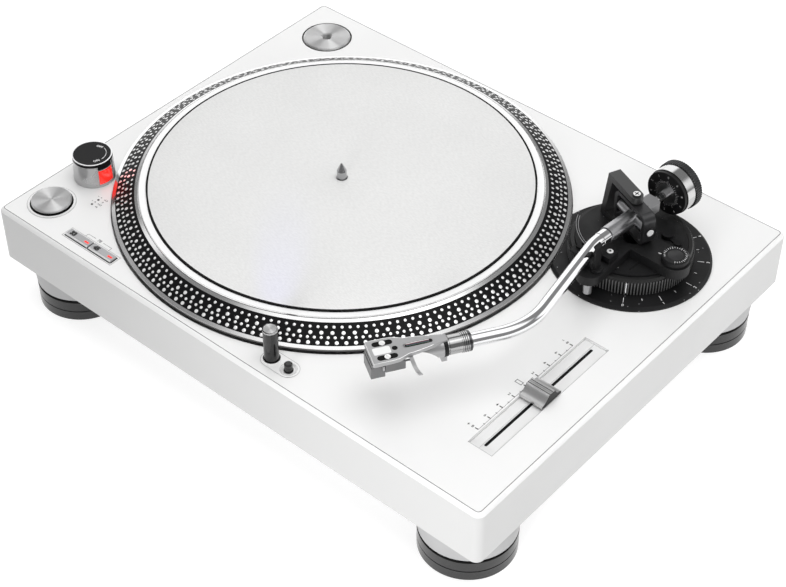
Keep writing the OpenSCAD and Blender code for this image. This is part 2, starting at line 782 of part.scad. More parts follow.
module power_knob() {
    color("#2b2c2e") on_deck(-tower_x, -tower_y, 0) {
        translate([0, 0, 12]) cylinder(r = 3, h = tower_cap_z - 11);
        translate([0, 0, tower_cap_z]) cylinder(r1 = tower_at(tower_cap_z), r2 = tower_top_r, h = cap_t - 0.4);
        translate([0, 0, tower_h - 0.4]) cylinder(r1 = tower_top_r, r2 = tower_top_r - 0.4, h = 0.4);
    }
}

module speed_bezel() {
    pair = 2 * speed_l + speed_gap;
    color("#5a5b5d") difference() {
        on_deck(-speed_x - speed_frame, -speed_y - speed_frame, -4.5)
            cube([pair + 2 * speed_frame, speed_d + 2 * speed_frame, 4.6]);
        on_deck(-speed_x - button_gap, -speed_y - button_gap, -3)
            cube([pair + 2 * button_gap, speed_d + 2 * button_gap, 5]);
    }
}

// One key with a bevel along its front edge
module speed_button(x) {
    color("#8e9092") on_deck(x, -speed_y, 0) rotate([90, 0, 90]) linear_extrude(speed_l)
        polygon([[0, -1.6], [speed_d, -1.6], [speed_d, speed_top], [0.9, speed_top], [0, speed_top - 0.7]]);
}

module button_33() speed_button(-speed_x);
module button_45() speed_button(-speed_x + speed_l + speed_gap);

// Target lamp

module light_tray() {
    color("#e3e3e1") on_deck(lamp_x, -lamp_y, 0) difference() {
        union() {
            translate([0, 0, -4.5]) linear_extrude(4.65) obround(lamp_button_x, light_tray_r);
            translate([0, 0, -16]) cylinder(r = light_tray_r - 1.1, h = 12);
            cylinder(r = lamp_r + 1, h = lamp_collar);
        }
        translate([0, 0, -20]) cylinder(r = lamp_r + button_gap, h = 40);
        translate([lamp_button_x, 0, -1]) cylinder(r1 = 4.6, r2 = 5.9, h = 1.4);
        translate([lamp_button_x, 0, -20]) cylinder(r = lamp_button_r + button_gap, h = 40);
    }
}

module target_light() {
    color("#3b3c3f") on_deck(lamp_x, -lamp_y, 0) difference() {
        union() {
            translate([0, 0, -8]) cylinder(r = lamp_r, h = lamp_top + 7.6);
            translate([0, 0, lamp_top - 0.4]) cylinder(r1 = lamp_r, r2 = lamp_r - 0.4, h = 0.4);
        }
        translate([-2.6, lamp_r - 1.4, lamp_top - 8]) cube([5.2, 5, 5]);
    }
}

module light_button() {
    color("#c9cacb") on_deck(lamp_x + lamp_button_x, -lamp_y, 0) {
        translate([0, 0, -6.5]) cylinder(r = lamp_button_r + 1, h = 1.5);
        translate([0, 0, -6]) cylinder(r = lamp_button_r, h = 5 + lamp_button_top);
        translate([0, 0, lamp_button_top - 1])
            cylinder(r1 = lamp_button_r, r2 = lamp_button_r - 0.9, h = 1);
    }
}

// Adaptor

module adaptor_dish() {
    color("#4a4b4d") on_deck(-adaptor_x, adaptor_y, adaptor_floor - 1.4) difference() {
        cylinder(r = adaptor_r + 1, h = dish_depth + 1.4);
        translate([0, 0, 1.4]) cylinder(r = adaptor_r + 0.45, h = 20);
    }
}

module adaptor_45() {
    thick = dish_depth + adaptor_top;
    color("#d0d1d2") on_deck(-adaptor_x, adaptor_y, adaptor_floor) rotate_extrude()
        polygon([[3.65, 0], [adaptor_r - 0.5, 0], [adaptor_r, 0.5], [adaptor_r, thick - 1.2],
            [adaptor_r - 1, thick - 0.2], [adaptor_r - 1.6, thick], [4.6, thick], [3.65, thick - 0.8]]);
}

// Tempo slider

module tempo_panel() {
    color("#ececea") difference() {
        on_deck(tempo_x - tempo_w / 2 + insert_gap, -tempo_front + insert_gap, -panel_t)
            cube([tempo_w - 2 * insert_gap, tempo_l - 2 * insert_gap, panel_t - tempo_depth]);
        on_deck(tempo_x, -tempo_front + 6, -panel_t - 1) rotate([0, 0, 90])
            linear_extrude(panel_t) obround(tempo_l - 12, tempo_slot / 2);
    }
}

module tempo_fader() {
    color("#77797b") difference() {
        on_deck(tempo_x - 7.5, -tempo_front + 1, -panel_t - 10) cube([15, tempo_l - 2, 10]);
        on_deck(tempo_x - 5.5, -tempo_front + 4, -panel_t - 8.5) cube([11, tempo_l - 8, 7]);
        on_deck(tempo_x - tempo_slot / 2, -tempo_front + 4, -panel_t - 4)
            cube([tempo_slot, tempo_l - 8, 8]);
    }
}

// Side outline of the knob: a ridged bar between two hollow ramps
module fader_outline() {
    half = fader_l / 2;
    bar = 2.6;
    difference() {
        translate([-half, 0.3]) square([fader_l, fader_top - 0.3]);
        for (s = [-1, 1]) translate([s * (half + 1.2), fader_top + 3.2])
            circle(half + 1.2 - bar);
    }
    translate([-half, 0.3]) square([fader_l, 1]);
}

module tempo_knob() {
    mid = -tempo_front + tempo_l / 2;
    color("#c7c8c9") {
        difference() {
            on_deck(tempo_x - tempo_w / 2 + 0.1, mid, 0) rotate([90, 0, 90])
                linear_extrude(tempo_w - 0.2) fader_outline();
            for (i = [-1:1]) on_deck(tempo_x, mid + 1.5 * i, fader_top) rotate([45, 0, 0])
                cube([tempo_w + 2, 0.6, 0.6], center = true);
        }
        on_deck(tempo_x - 0.8, mid - 3, -panel_t - 5) cube([1.6, 6, panel_t + 6]);
        on_deck(tempo_x - 4.5, mid - 5, -panel_t - 7.5) cube([9, 10, 5]);
    }
}

// Tonearm base

module arm_disc() {
    color("#2a2b2d") difference() {
        at_pivot(0) rotate_extrude() polygon([[sleeve_r, -14], [sleeve_out, -14], [sleeve_out, 0],
            [disc_r, 0], [disc_r, disc_t - 1.6], [disc_r - 1.7, disc_t], [sleeve_r, disc_t]]);
        on_deck(platter_x, platter_y, -1) cylinder(r = well_r, h = 10);
    }
}

module height_ring() {
    step = 360 / ring_teeth;
    color("#333436") at_pivot(0) difference() {
        union() {
            translate([0, 0, disc_t]) cylinder(r = ring_r - ring_groove, h = ring_top - disc_t - 2);
            translate([0, 0, disc_t + 1]) linear_extrude(ring_top - disc_t - 3)
                polygon([for (i = [0:ring_teeth - 1], k = [0:3])
                    let (r = k < 2 ? ring_r : ring_r - ring_groove,
                        a = step * (i + [0, 0.5, 0.62, 0.88][k])) [r * cos(a), r * sin(a)]]);
            translate([0, 0, ring_top - 2])
                cylinder(r1 = ring_r - ring_groove, r2 = ring_r - 1.8, h = 2);
        }
        cylinder(r = ring_in, h = 40);
    }
}

rest_x = 5.8;
rest_y = 51;
lift_x = 5.9;
lift_y = 36;
lift_stem_low = 5;
lock_x = 18.4;
lock_y = 16.9;
cue_y = 30;
cue_z = 21;
right_arm_low = ring_top + 0.5;
front_arm_low = base_top + 0.3;

module arm_base() {
    color("#3d3e41") difference() {
        union() {
            at_pivot(base_low) cylinder(r = base_r, h = base_top - base_low);
            at_pivot(base_top - 1) cylinder(r = cup_r, h = cup_top - base_top + 1);
            at_pivot(base_top - 1) linear_extrude(arms_top - base_top + 1) {
                intersection() {
                    circle(base_r);
                    translate([0, -right_arm_y - right_arm_r])
                        square([right_arm_x, 2 * right_arm_r]);
                }
                intersection() {
                    circle(base_r);
                    translate([front_arm_x - front_arm_r, -front_arm_y])
                        square([2 * front_arm_r, front_arm_y]);
                }
            }
            at_pivot(right_arm_low) linear_extrude(arms_top - right_arm_low) {
                translate([right_arm_x, -right_arm_y]) circle(right_arm_r);
                translate([20, -right_arm_y - right_arm_r])
                    square([right_arm_x - 20, 2 * right_arm_r]);
            }
            at_pivot(front_arm_low) linear_extrude(arms_top - front_arm_low) {
                translate([front_arm_x, -front_arm_y]) circle(front_arm_r);
                translate([front_arm_x - front_arm_r, -front_arm_y])
                    square([2 * front_arm_r, front_arm_y - 30]);
            }
            at_pivot(4.3) translate([front_arm_x - 0.2, -front_arm_y, 0]) {
                translate([0, 0, 2.8]) cylinder(r = 2.8, h = 13);
                translate([0, 0, 2.8]) sphere(r = 2.8);
            }
            at_pivot(arms_top - 1) translate([-7.1, -front_arm_y - 2, 0]) cube([5, 8, 5.4]);
        }
        at_pivot(base_low - 1) cylinder(r = base_r - 4, h = base_top - base_low - 4);
        at_pivot(base_top) cylinder(r = cup_r - 1.8, h = 20);
        at_pivot(base_top - 1.1) rotate([0, 0, 10]) rotate_extrude(angle = 105)
            polygon([[31, 0], [base_r + 2, 0], [base_r + 2, 5], [31, 5]]);
        at_pivot(base_top - 10) translate([right_arm_x, -right_arm_y, 0]) cylinder(r = 2.5 + run_gap, h = 20);
        at_pivot(base_top - 10) translate([rest_x, -rest_y, 0]) cylinder(r = 2.5 + run_gap, h = 20);
        at_pivot(base_low) translate([lift_x, -lift_y, 0]) cylinder(r = 2 + run_gap, h = 60);
        at_pivot(base_low) translate([lock_x, lock_y, 0]) cylinder(r = 2.2 + run_gap, h = 60);
        at_pivot(cue_z) translate([0, -cue_y, 0]) rotate([0, -90, 0])
            cylinder(r = 1.8 + run_gap, h = 20);
    }
    color("#3d3e41") at_pivot(base_top - 1) {
        cylinder(r = 6, h = gimbal_low - base_top + 0.7);
        cylinder(r = 1.5, h = gimbal_low - base_top + 3);
    }
}

module height_lock() {
    color("#303133") at_pivot(0) translate([lock_x, lock_y, 0]) {
        translate([0, 0, base_top - 6]) cylinder(r = 2.2, h = 8);
        translate([0, 0, base_top + 0.2]) cylinder(r = 4.4, h = 3);
        rotate([0, 0, -10]) translate([0, 0, base_top + 0.3]) linear_extrude(0.8) {
            translate([3.2, -2]) square([6.8, 4]);
            translate([10, 0]) circle(2.8);
        }
    }
}

module cue_lever() {
    color("#c2c3c4") at_pivot(cue_z) translate([0, -cue_y, 0]) {
        rotate([0, -90, 0]) cylinder(r = 1.8, h = 20.5);
        translate([-24, -10.5, -3.2]) cube([8, 7, 1.8]);
        translate([-22, -6, -2.6]) cube([4, 6.5, 2.6]);
    }
}

module lifter() {
    color("#606163") at_pivot(0) {
        translate([0, 0, arms_top + 1.5]) rotate([0, 0, -160]) rotate_extrude(angle = 79)
            translate([37.7, 0]) square([1.9, 1]);
        translate([2.5, -lift_y - 5, arms_top + 0.2]) cube([6.6, 10, 4.8]);
        translate([lift_x, -lift_y, lift_stem_low]) cylinder(r = 2, h = arms_top + 2 - lift_stem_low);
    }
}

// Upright strip whose top curls over towards the tube
module arm_rest_clip() {
    color("#2b2c2e") at_pivot(0) translate([rest_x, -rest_y, 0]) {
        translate([0, 0, base_top + 3]) cylinder(r = 2.5, h = arms_top - base_top);
        translate([0, 0, arms_top + 0.2]) cylinder(r = 4.2, h = 2.6);
        translate([-0.8, -3.25, arms_top + 1]) cube([1.6, 6.5, 19]);
        translate([-1.7, 3.25, arms_top + 20]) rotate([90, 0, 0]) rotate_extrude(angle = 90)
            translate([0.9, 0]) square([1.6, 6.5]);
    }
}

module antiskate_knob() {
    color("#323335") at_pivot(arms_top) translate([right_arm_x, -right_arm_y, 0]) {
        translate([0, 0, -5]) cylinder(r = 2.5, h = 6);
        translate([0, 0, 0.2]) cylinder(r = skate_r, h = skate_h - 0.9);
        translate([0, 0, skate_h - 0.7]) cylinder(r1 = skate_r, r2 = skate_r - 0.7, h = 0.7);
    }
}

// Bearing bridge and gimbal

module arm_bridge() {
    out_low = bridge_out + bridge_slant;
    color("#5b5d60") on_cross(0) {
        translate([0, 0, bridge_low]) linear_extrude(bridge_top - bridge_low) {
            circle(bridge_w / 2);
            translate([0, -bridge_w / 2]) square([bridge_out - 5, bridge_w]);
        }
        translate([0, bridge_w / 2, 0]) rotate([90, 0, 0]) linear_extrude(bridge_w)
            polygon([[bridge_out - 6, bridge_low], [bridge_out - 5, bridge_low],
                [out_low - 5, base_top + 3.5], [cup_r + 1, base_top + 3.5], [cup_r + 1, base_top],
                [out_low, base_top], [bridge_out, bridge_top], [bridge_out - 6, bridge_top]]);
        translate([0, 0, bridge_top - 1]) cylinder(r = 3, h = 2.2);
        translate([0, 0, gimbal_top - 2]) cylinder(r = 1.5, h = bridge_low - gimbal_top + 3);
    }
}

module gimbal_ring() {
    mid = (gimbal_low + gimbal_top) / 2;
    tall = gimbal_top - gimbal_low;
    color("#75777a") difference() {
        union() {
            on_cross(mid) translate([0, gimbal_d / 2, 0]) rotate([90, 0, 0]) linear_extrude(gimbal_d)
                difference() {
                    rounded(2 * gimbal_w, tall, 6);
                    rounded(2 * gimbal_in, tall - 2 * gimbal_wall, 3);
                }
            on_cross(axis_h) rod(3, -gimbal_w - 1.5, -gimbal_w + 1);
            on_cross(axis_h) rod(3, gimbal_w - 1, gimbal_w + 1.5);
        }
        at_pivot(gimbal_low - 1) cylinder(r = 1.5 + run_gap, h = 3.5);
        at_pivot(gimbal_top - 2.5) cylinder(r = 1.5 + run_gap, h = 4);
        for (s = [0, 180]) on_cross(axis_h) rotate([0, 0, s])
            rod(1.5 + run_gap, gimbal_in - 1, gimbal_in + 1.7);
    }
}

// Tonearm

module pivot_tube() {
    color("#8b8d90") {
        on_arm() {
            rod(pivot_tube_r, -pivot_tube_l, -2);
            rod(5, -3, 10);
            translate([9, 0, 0]) rotate([90, 0, 90]) linear_extrude(11)
                polygon([[-6, -4], [-4, -6], [4, -6], [6, -4], [6, 4], [4, 6], [-4, 6], [-6, 4]]);
            rod(weight_shaft_r, 19, shaft_len);
        }
        on_cross(axis_h) rod(4.8, -gimbal_in + 0.8, gimbal_in - 0.8);
        on_cross(axis_h) rod(1.5, -gimbal_in - 1.2, gimbal_in + 1.2);
    }
}

// Straight stretch of the tube, which reaches a little into the bends at its ends
module tube_piece(at, dir, way) {
    translate([at[0], at[1], 0]) rotate([0, 0, dir]) rod(tube_r, -bend_lap, way + bend_lap);
}

module tube_bend(middle, dir, radius, turn) {
    translate([middle[0], middle[1], 0]) rotate([0, 0, dir])
        rotate_extrude(angle = turn) translate([radius, 0]) circle(tube_r - bend_step);
}

module s_tube() {
    start = along([0, 0], front_dir, pivot_tube_l);
    one_in = along(bend_one_at, front_dir, -cut_one);
    one_out = along(bend_one_at, middle_dir, cut_one);
    two_in = along(bend_two_at, middle_dir, -cut_two);
    two_out = along(bend_two_at, head_dir, cut_two);
    one_mid = along(one_in, front_dir + 90, bend_one_r);
    two_mid = along(two_in, middle_dir - 90, bend_two_r);
    color("#d4d5d7") translate([pivot_x, pivot_y, axis_z]) {
        translate([start[0], start[1], 0]) rotate([0, 0, front_dir]) rod(5.1, 0, 7.5);
        tube_piece(along(start, front_dir, 1), front_dir, bend_one - cut_one - pivot_tube_l - 1);
        tube_bend(one_mid, front_dir - 90, bend_one_r, turn_one);
        tube_piece(one_out, middle_dir, bend_two - cut_one - cut_two);
        tube_bend(two_mid, head_dir + 90, bend_two_r, turn_two);
        tube_piece(two_out, head_dir, bend_end - cut_two + lock_l / 2 - bend_lap);
    }
}

module locking_collar() {
    color("#cfd0d2") on_lock() difference() {
        union() {
            rod(lock_r, 1, lock_l - 0.8);
            rod(lock_r - 0.8, 0, lock_l);
            for (i = [0:3]) rod(lock_r + 0.4, 2.6 + 1.3 * i, 3.3 + 1.3 * i);
        }
        rod(tube_r + run_gap, -1, lock_l + 1);
    }
}

// Headshell

module shell_plan() {
    half = shell_w / 2;
    polygon([[0, -2.6], [12, -4.9], [23, -7], [27, -7.3], [30, -8.6], [34, -10.1], [38, -half + 0.3],
        [shell_l - 0.8, -half], [shell_l, -half + 0.8], [shell_l, half - 0.8], [shell_l - 0.8, half],
        [38, half - 0.3], [34, 10.1], [30, 8.6], [27, 7.3], [23, 7], [12, 4.9], [0, 2.6]]);
}

// Side outline of the neck: a fin below, with a hollow arch in front of it
module neck_side() {
    fin = 11.2;
    difference() {
        translate([0, -fin]) square([24, fin + shell_top - 0.5]);
        translate([19, -fin]) circle(14.2);
        translate([3.6, -fin]) square([24, 6]);
        translate([19, -fin - 1]) square([9, 14.8]);
    }
}

module headshell() {
    color("#b4b6b8") on_head() difference() {
        union() {
            translate([0, 0, under_plate]) linear_extrude(shell_t) shell_plan();
            intersection() {
                union() {
                    rod(6.8, 0, 5);
                    translate([5, 0, 0]) rotate([0, 90, 0]) cylinder(r1 = 6.8, r2 = 4.2, h = 18);
                    translate([0, -2.6, -11.2]) cube([23.5, 5.2, 11.2 + shell_top - 1]);
                }
                translate([0, 8, 0]) rotate([90, 0, 0]) linear_extrude(16) neck_side();
            }
            rod(tube_r - 0.3, -lock_l / 2 + 0.5, 1);
        }
        for (s = [-1, 1]) translate([slot_s - (slot_l - slot_w) / 2, s * slot_pitch / 2, 0])
            linear_extrude(20) obround(slot_l - slot_w, slot_w / 2);
        translate([34.4, 0, 0]) cylinder(r = 1.75, h = 20);
        translate([11, 0, under_plate - 1]) linear_extrude(20) obround(16.4, 1.7);
    }
}

// Thin blade that leaves the side of the headshell and lifts at its tip
module finger_lift() {
    reach = 22.5;
    color("#c4c6c8") on_head() translate([24.5, 5, under_plate - 1]) rotate([90, 0, 90]) difference() {
        linear_extrude(2.4) polygon(concat(
            [for (i = [0:12]) let (t = i / 12) [reach * t, -1.6 * sin(180 * t) + 3.4 * t * t * t]],
            [for (i = [12:-1:0]) let (t = i / 12) [reach * t, 0.95 - 1.6 * sin(180 * t) + 3.4 * t * t * t]]));
        translate([reach - 3.5, 10, 1.2]) rotate([90, 0, 0]) cylinder(r = 0.6, h = 20);
    }
}

module cartridge() {
    half = cart_w / 2;
    color("#4d4f52") on_head() {
        translate([29.5, -half, under_plate - 9]) cube([13.3, cart_w, 7]);
        translate([31, -half, under_plate - 3]) cube([21, cart_w, 2.8]);
        for (y = [-1, 1], z = [0, 1]) translate([0, 3 * y, under_plate - 4.2 - 3 * z]) rod(0.65, 23.5, 30);
    }
}

module stylus() {
    half = cart_w / 2;
    low = under_plate - cart_h;
    color("#6e7073") on_head() {
        translate([43.1, -half, low]) cube([9.4, cart_w, cart_h - 3.2]);
        translate([41, -1.6, low + 1]) cube([3, 3.2, 2]);
        translate([47.5, 0, low - 2.9]) cylinder(r1 = 0.15, r2 = 0.6, h = 3);
    }
}

// Counterweight

module weight_sleeve() {
    color("#9b9da0") on_arm() difference() {
        rod(sleeve_wall_r, weight_from, weight_to);
        rod(weight_shaft_r + run_gap, weight_from - 1, weight_to + 1);
    }
}

module counterweight() {
    split = weight_from + dial_t + 0.3;
    color("#c3c5c8") on_arm() difference() {
        union() {
            rod(weight_r, split, weight_to - 6.4);
            rod(weight_r - 1, split, weight_to - 1);
            rod(weight_ring_r, weight_to - 5.6, weight_to);
        }
        rod(sleeve_wall_r + run_gap, weight_from - 1, weight_to + 1);
    }
}

module weight_dial() {
    color("#2a2b2d") on_arm() difference() {
        rod(dial_r, weight_from, weight_from + dial_t);
        rod(sleeve_wall_r + run_gap, weight_from - 1, weight_to);
    }
}

top_panel();
plinth_shell();
base_tray();
motor_stator();
bearing_housing();
power_supply();
main_board();
strobe_tower();
strobe_window();
start_bezel();
speed_bezel();
tempo_panel();
tempo_fader();
light_tray();
adaptor_dish();
arm_disc();
jack_bay();
output_jacks();
mains_inlet();
ground_nut();
platter();
rotor_magnet();
spindle();
slipmat();
power_knob();
start_stop_button();
button_33();
button_45();
light_button();
target_light();
tempo_knob();
adaptor_45();
foot_fl();
foot_fr();
foot_rl();
foot_rr();
stem_fl();
stem_fr();
stem_rl();
stem_rr();
height_ring();
arm_base();
height_lock();
cue_lever();
lifter();
arm_rest_clip();
antiskate_knob();
arm_bridge();
gimbal_ring();
pivot_tube();
s_tube();
locking_collar();
headshell();
finger_lift();
cartridge();
stylus();
weight_sleeve();
counterweight();
weight_dial();
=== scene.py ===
"""DJ turntable: finishes, printed marks, strobe dots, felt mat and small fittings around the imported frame.

Everything is in metres in the frame of the part: X to the right, Y to the back, Z up, the ground at zero.
Each new surface is worked out with numpy, and each docstring gives its formula in words.
"""

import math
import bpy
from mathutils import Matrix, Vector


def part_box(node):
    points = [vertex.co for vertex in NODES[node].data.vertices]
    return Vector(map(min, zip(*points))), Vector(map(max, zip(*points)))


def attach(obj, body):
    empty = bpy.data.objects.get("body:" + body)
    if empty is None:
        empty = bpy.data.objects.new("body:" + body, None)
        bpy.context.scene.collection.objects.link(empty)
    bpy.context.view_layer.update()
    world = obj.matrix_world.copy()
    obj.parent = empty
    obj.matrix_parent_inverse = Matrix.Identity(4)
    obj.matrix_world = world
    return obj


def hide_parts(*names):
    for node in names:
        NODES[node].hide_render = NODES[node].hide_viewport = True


bl_info = {
    "name": "DJ turntable looks",
    "version": (1, 0, 0),
    "blender": (4, 5, 0),
    "location": "3D View > Sidebar > Turntable",
    "description": "Finishes and fine pieces of a direct-drive DJ turntable",
    "category": "Object",
}

import bmesh
import bpy
import numpy as np
from bpy.props import FloatProperty, FloatVectorProperty, IntProperty, PointerProperty
from mathutils import Vector

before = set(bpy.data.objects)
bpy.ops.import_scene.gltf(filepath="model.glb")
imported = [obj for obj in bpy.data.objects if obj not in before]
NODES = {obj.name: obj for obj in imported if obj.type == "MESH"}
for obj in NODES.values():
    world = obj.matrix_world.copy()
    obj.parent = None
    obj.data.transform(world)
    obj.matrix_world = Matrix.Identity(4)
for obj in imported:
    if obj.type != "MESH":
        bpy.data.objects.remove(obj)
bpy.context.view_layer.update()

MM = 0.001


def centre(node):
    """Middle of a node's box, in metres."""
    low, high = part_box(node)
    return (low + high) / 2


DECK_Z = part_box("top_panel")[1].z
SPINDLE = centre("spindle")
PIVOT = centre("height_ring")
AXIS_Z = DECK_Z + 37.3 * MM
# Finishes by key, filled by build_materials.
MATERIALS = {}
# Directions in degrees from +X: the weight's shaft, the gimbal's cross pins and the headshell.
REAR_DIR = 85.0
CROSS_DIR = 157.0
HEAD_DIR = -122.0
# The platter's strobe band in millimetres: its inner and outer radius, its top above the deck and its drop.
BAND_IN, BAND_OUT, BAND_TOP, BAND_DROP = 150.6, 164.7, 12.0, 7.9
# The S-shaped tube in millimetres: its radius, its three straight runs and the radii of its two bends.
TUBE_R, TUBE_REAR, TUBE_MIDDLE, TUBE_HEAD = 4.8, 42.6, 94.9, 39.8
BEND_REAR, BEND_HEAD = 40.0, 54.0
# Lamp and its button, and the tempo slot, in millimetres on the deck.
LAMP_X, KEY_X, LAMP_Y = 34.3, 49.5, -158.5
SLOT_X, SLOT_Y, SLOT_LENGTH = 189.1, -68.7, 124.5
# Top of the headshell's plate above the tube axis, in millimetres.
PLATE_TOP = 7.78


# Making of meshes.


def deck(x, y, z):
    """A point given in millimetres from the middle of the deck's flat top, in metres."""
    return np.array([x * MM, y * MM, DECK_Z + z * MM])


def pivot(x, y, z):
    """A point given in millimetres from the tonearm pivot at deck height, in metres."""
    return np.array([PIVOT.x + x * MM, PIVOT.y + y * MM, DECK_Z + z * MM])


def cos_sin(degrees):
    """Cosine and sine of an angle."""
    return math.cos(math.radians(degrees)), math.sin(math.radians(degrees))


def full_turn(steps):
    """Angles spread evenly over a turn, in radians."""
    return np.arange(steps) * 2 * math.pi / steps


def turn_z(degrees):
    """Rotation matrix about the Z axis."""
    c, s = cos_sin(degrees)
    return np.array([[c, -s, 0.0], [s, c, 0.0], [0.0, 0.0, 1.0]])


def facing(direction, up=(0.0, 0.0, 1.0)):
    """Rotation matrix whose third column points along the direction, the second as near to up as it can."""
    w = np.asarray(direction, float)
    w = w / np.linalg.norm(w)
    v = np.asarray(up, float)
    if abs(w @ v) > 0.99:
        v = np.array([0.0, 1.0, 0.0])
    u = np.cross(v, w)
    u /= np.linalg.norm(u)
    return np.stack([u, np.cross(w, u), w], axis=1)


def piece(name, parts, finish, body, smooth=35.0):
    """One object from (points, faces, material index) surfaces in metres, with its finish or finishes.

    Doubled points are merged, which closes seams and poles, and the faces are turned outwards.
    """
    points, faces, marks, base = [], [], [], 0
    for part in parts:
        pts, fcs = part[0], part[1]
        points.append(np.asarray(pts, float))
        faces += [tuple(int(i) + base for i in f) for f in fcs]
        marks += [part[2] if len(part) > 2 else 0] * len(fcs)
        base += len(pts)
    mesh = bpy.data.meshes.new(name)
    mesh.from_pydata(np.concatenate(points).tolist(), [], faces)
    mesh.polygons.foreach_set("material_index", np.array(marks, np.int32))
    work = bmesh.new()
    work.from_mesh(mesh)
    bmesh.ops.remove_doubles(work, verts=work.verts, dist=1e-7)
    bmesh.ops.dissolve_degenerate(work, edges=work.edges, dist=1e-8)
    bmesh.ops.recalc_face_normals(work, faces=work.faces)
    work.to_mesh(mesh)
    work.free()
    for key in finish if isinstance(finish, list) else [finish]:
        mesh.materials.append(MATERIALS[key])
    mesh.polygons.foreach_set("use_smooth", np.ones(len(mesh.polygons), bool))
    mesh.set_sharp_from_angle(angle=math.radians(smooth))
    obj = bpy.data.objects.new(name, mesh)
    bpy.context.scene.collection.objects.link(obj)
    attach(obj, body)
    return obj


def grid_faces(rows, columns, wrap_rows=False, wrap_columns=False):
    """Quads of a grid of points that is stored row by row."""
    r = np.arange(rows if wrap_rows else rows - 1)
    c = np.arange(columns if wrap_columns else columns - 1)
    r, c = np.meshgrid(r, c, indexing="ij")
    r, c = r.ravel(), c.ravel()
    r2, c2 = (r + 1) % rows, (c + 1) % columns
    return np.stack([r * columns + c, r * columns + c2, r2 * columns + c2, r2 * columns + c], axis=1)


def lathe(profile, at, steps=96, axis=None):
    """A profile of (radius, height) pairs in millimetres turned once round an axis through a point.

    Point (i, j) = centre + radius_i (cos a_j, sin a_j) across the axis + height_i along it.
    """
    profile = np.asarray(profile, float) * MM
    a = full_turn(steps)
    local = np.stack(
        [
            profile[:, :1] * np.cos(a),
            profile[:, :1] * np.sin(a),
            np.repeat(profile[:, 1:2], steps, axis=1),
        ],
        axis=-1,
    ).reshape(-1, 3)
    turn = np.eye(3) if axis is None else facing(axis)
    faces = grid_faces(len(profile), steps, wrap_rows=True, wrap_columns=True)
    return local @ turn.T + np.asarray(at, float), faces


def loft(outline, layers, at=(0.0, 0.0, 0.0), turn=None):
    """A closed outline in the XY plane carried through layers of (inset, height), all in millimetres.

    A layer's points are the outline's points moved inwards along their normals by the inset.
    The first and last layers are closed with one face each.
    """
    outline = np.asarray(outline, float)
    before, after = np.roll(outline, 1, axis=0), np.roll(outline, -1, axis=0)
    way = after - before
    way /= np.linalg.norm(way, axis=1, keepdims=True)
    inward = np.stack([-way[:, 1], way[:, 0]], axis=1)
    rings = [
        np.column_stack([outline + inset * inward, np.full(len(outline), height)])
        for inset, height in layers
    ]
    points = np.concatenate(rings) * MM
    n = len(outline)
    faces = [tuple(f) for f in grid_faces(len(layers), n, wrap_columns=True)]
    faces.append(tuple(range(n - 1, -1, -1)))
    faces.append(tuple(range((len(layers) - 1) * n, len(layers) * n)))
    if turn is not None:
        points = points @ turn.T
    return points + np.asarray(at, float), faces


def band(outline, profile, at=(0.0, 0.0, 0.0)):
    """A closed profile of (inset, height) pairs in millimetres carried round a closed outline.

    Point (i, j) = outline_j moved inwards along its normal by inset_i, at height_i.
    """
    points, _ = loft(outline, profile, at)
    return points, grid_faces(len(profile), len(outline), wrap_rows=True, wrap_columns=True)


def sweep(path, radius, steps=16, up=(0.0, 0.0, 1.0)):
    """A circle carried along a path in metres, closed at both ends.

    Point (i, j) = path_i + radius (cos a_j side_i + sin a_j upward_i).
    The side is the path's way turned a quarter about up.
    """
    path = np.asarray(path, float)
    way = np.gradient(path, axis=0)
    way /= np.linalg.norm(way, axis=1, keepdims=True)
    side = np.cross(way, np.asarray(up, float))
    side /= np.linalg.norm(side, axis=1, keepdims=True)
    above = np.cross(side, way)
    a = full_turn(steps)
    radius = np.broadcast_to(np.asarray(radius, float), len(path))[:, None, None]
    ring = np.cos(a)[None, :, None] * side[:, None, :] + np.sin(a)[None, :, None] * above[:, None, :]
    points = (path[:, None, :] + radius * ring).reshape(-1, 3)
    faces = [tuple(f) for f in grid_faces(len(path), steps, wrap_columns=True)]
    faces.append(tuple(range(steps)))
    faces.append(tuple(range((len(path) - 1) * steps, len(path) * steps))[::-1])
    return points, faces


def repeat(part, turns, places):
    """Copies of a small surface, each turned by its matrix and moved to its place, as one surface."""
    pts, fcs = np.asarray(part[0], float), [tuple(f) for f in part[1]]
    turns, places = np.asarray(turns, float), np.asarray(places, float)
    moved = np.einsum("nij,pj->npi", turns, pts) + places[:, None, :]
    n = len(pts)
    faces = [tuple(i + k * n for i in f) for k in range(len(places)) for f in fcs]
    return moved.reshape(-1, 3), faces


def circle(radius, steps, start=0.0, span=360.0):
    """Points on a circle or arc, in the units of the radius."""
    closed = abs(span) >= 360
    a = np.radians(start + np.linspace(0, span, steps, endpoint=not closed))
    return np.stack([radius * np.cos(a), radius * np.sin(a)], axis=1)


def rounded(width, depth, radius, steps=6):
    """Outline of a rectangle with round corners, counted anticlockwise."""
    x, y = width / 2 - radius, depth / 2 - radius
    corners = [
        circle(radius, steps, start, 90) + np.array(c)
        for start, c in ((0, (x, y)), (90, (-x, y)), (180, (-x, -y)), (270, (x, -y)))
    ]
    return np.concatenate(corners)


def bar(length, width, thick):
    """Box of the given millimetres, centred on X and Y with its underside at zero, in metres."""
    x, y, z = length * MM / 2, width * MM / 2, thick * MM
    pts = np.array(
        [(sx * x, sy * y, h) for h in (0.0, z) for sx, sy in ((-1, -1), (1, -1), (1, 1), (-1, 1))]
    )
    faces = [(3, 2, 1, 0), (4, 5, 6, 7), (0, 1, 5, 4), (1, 2, 6, 5), (2, 3, 7, 6), (3, 0, 4, 7)]
    return pts, faces


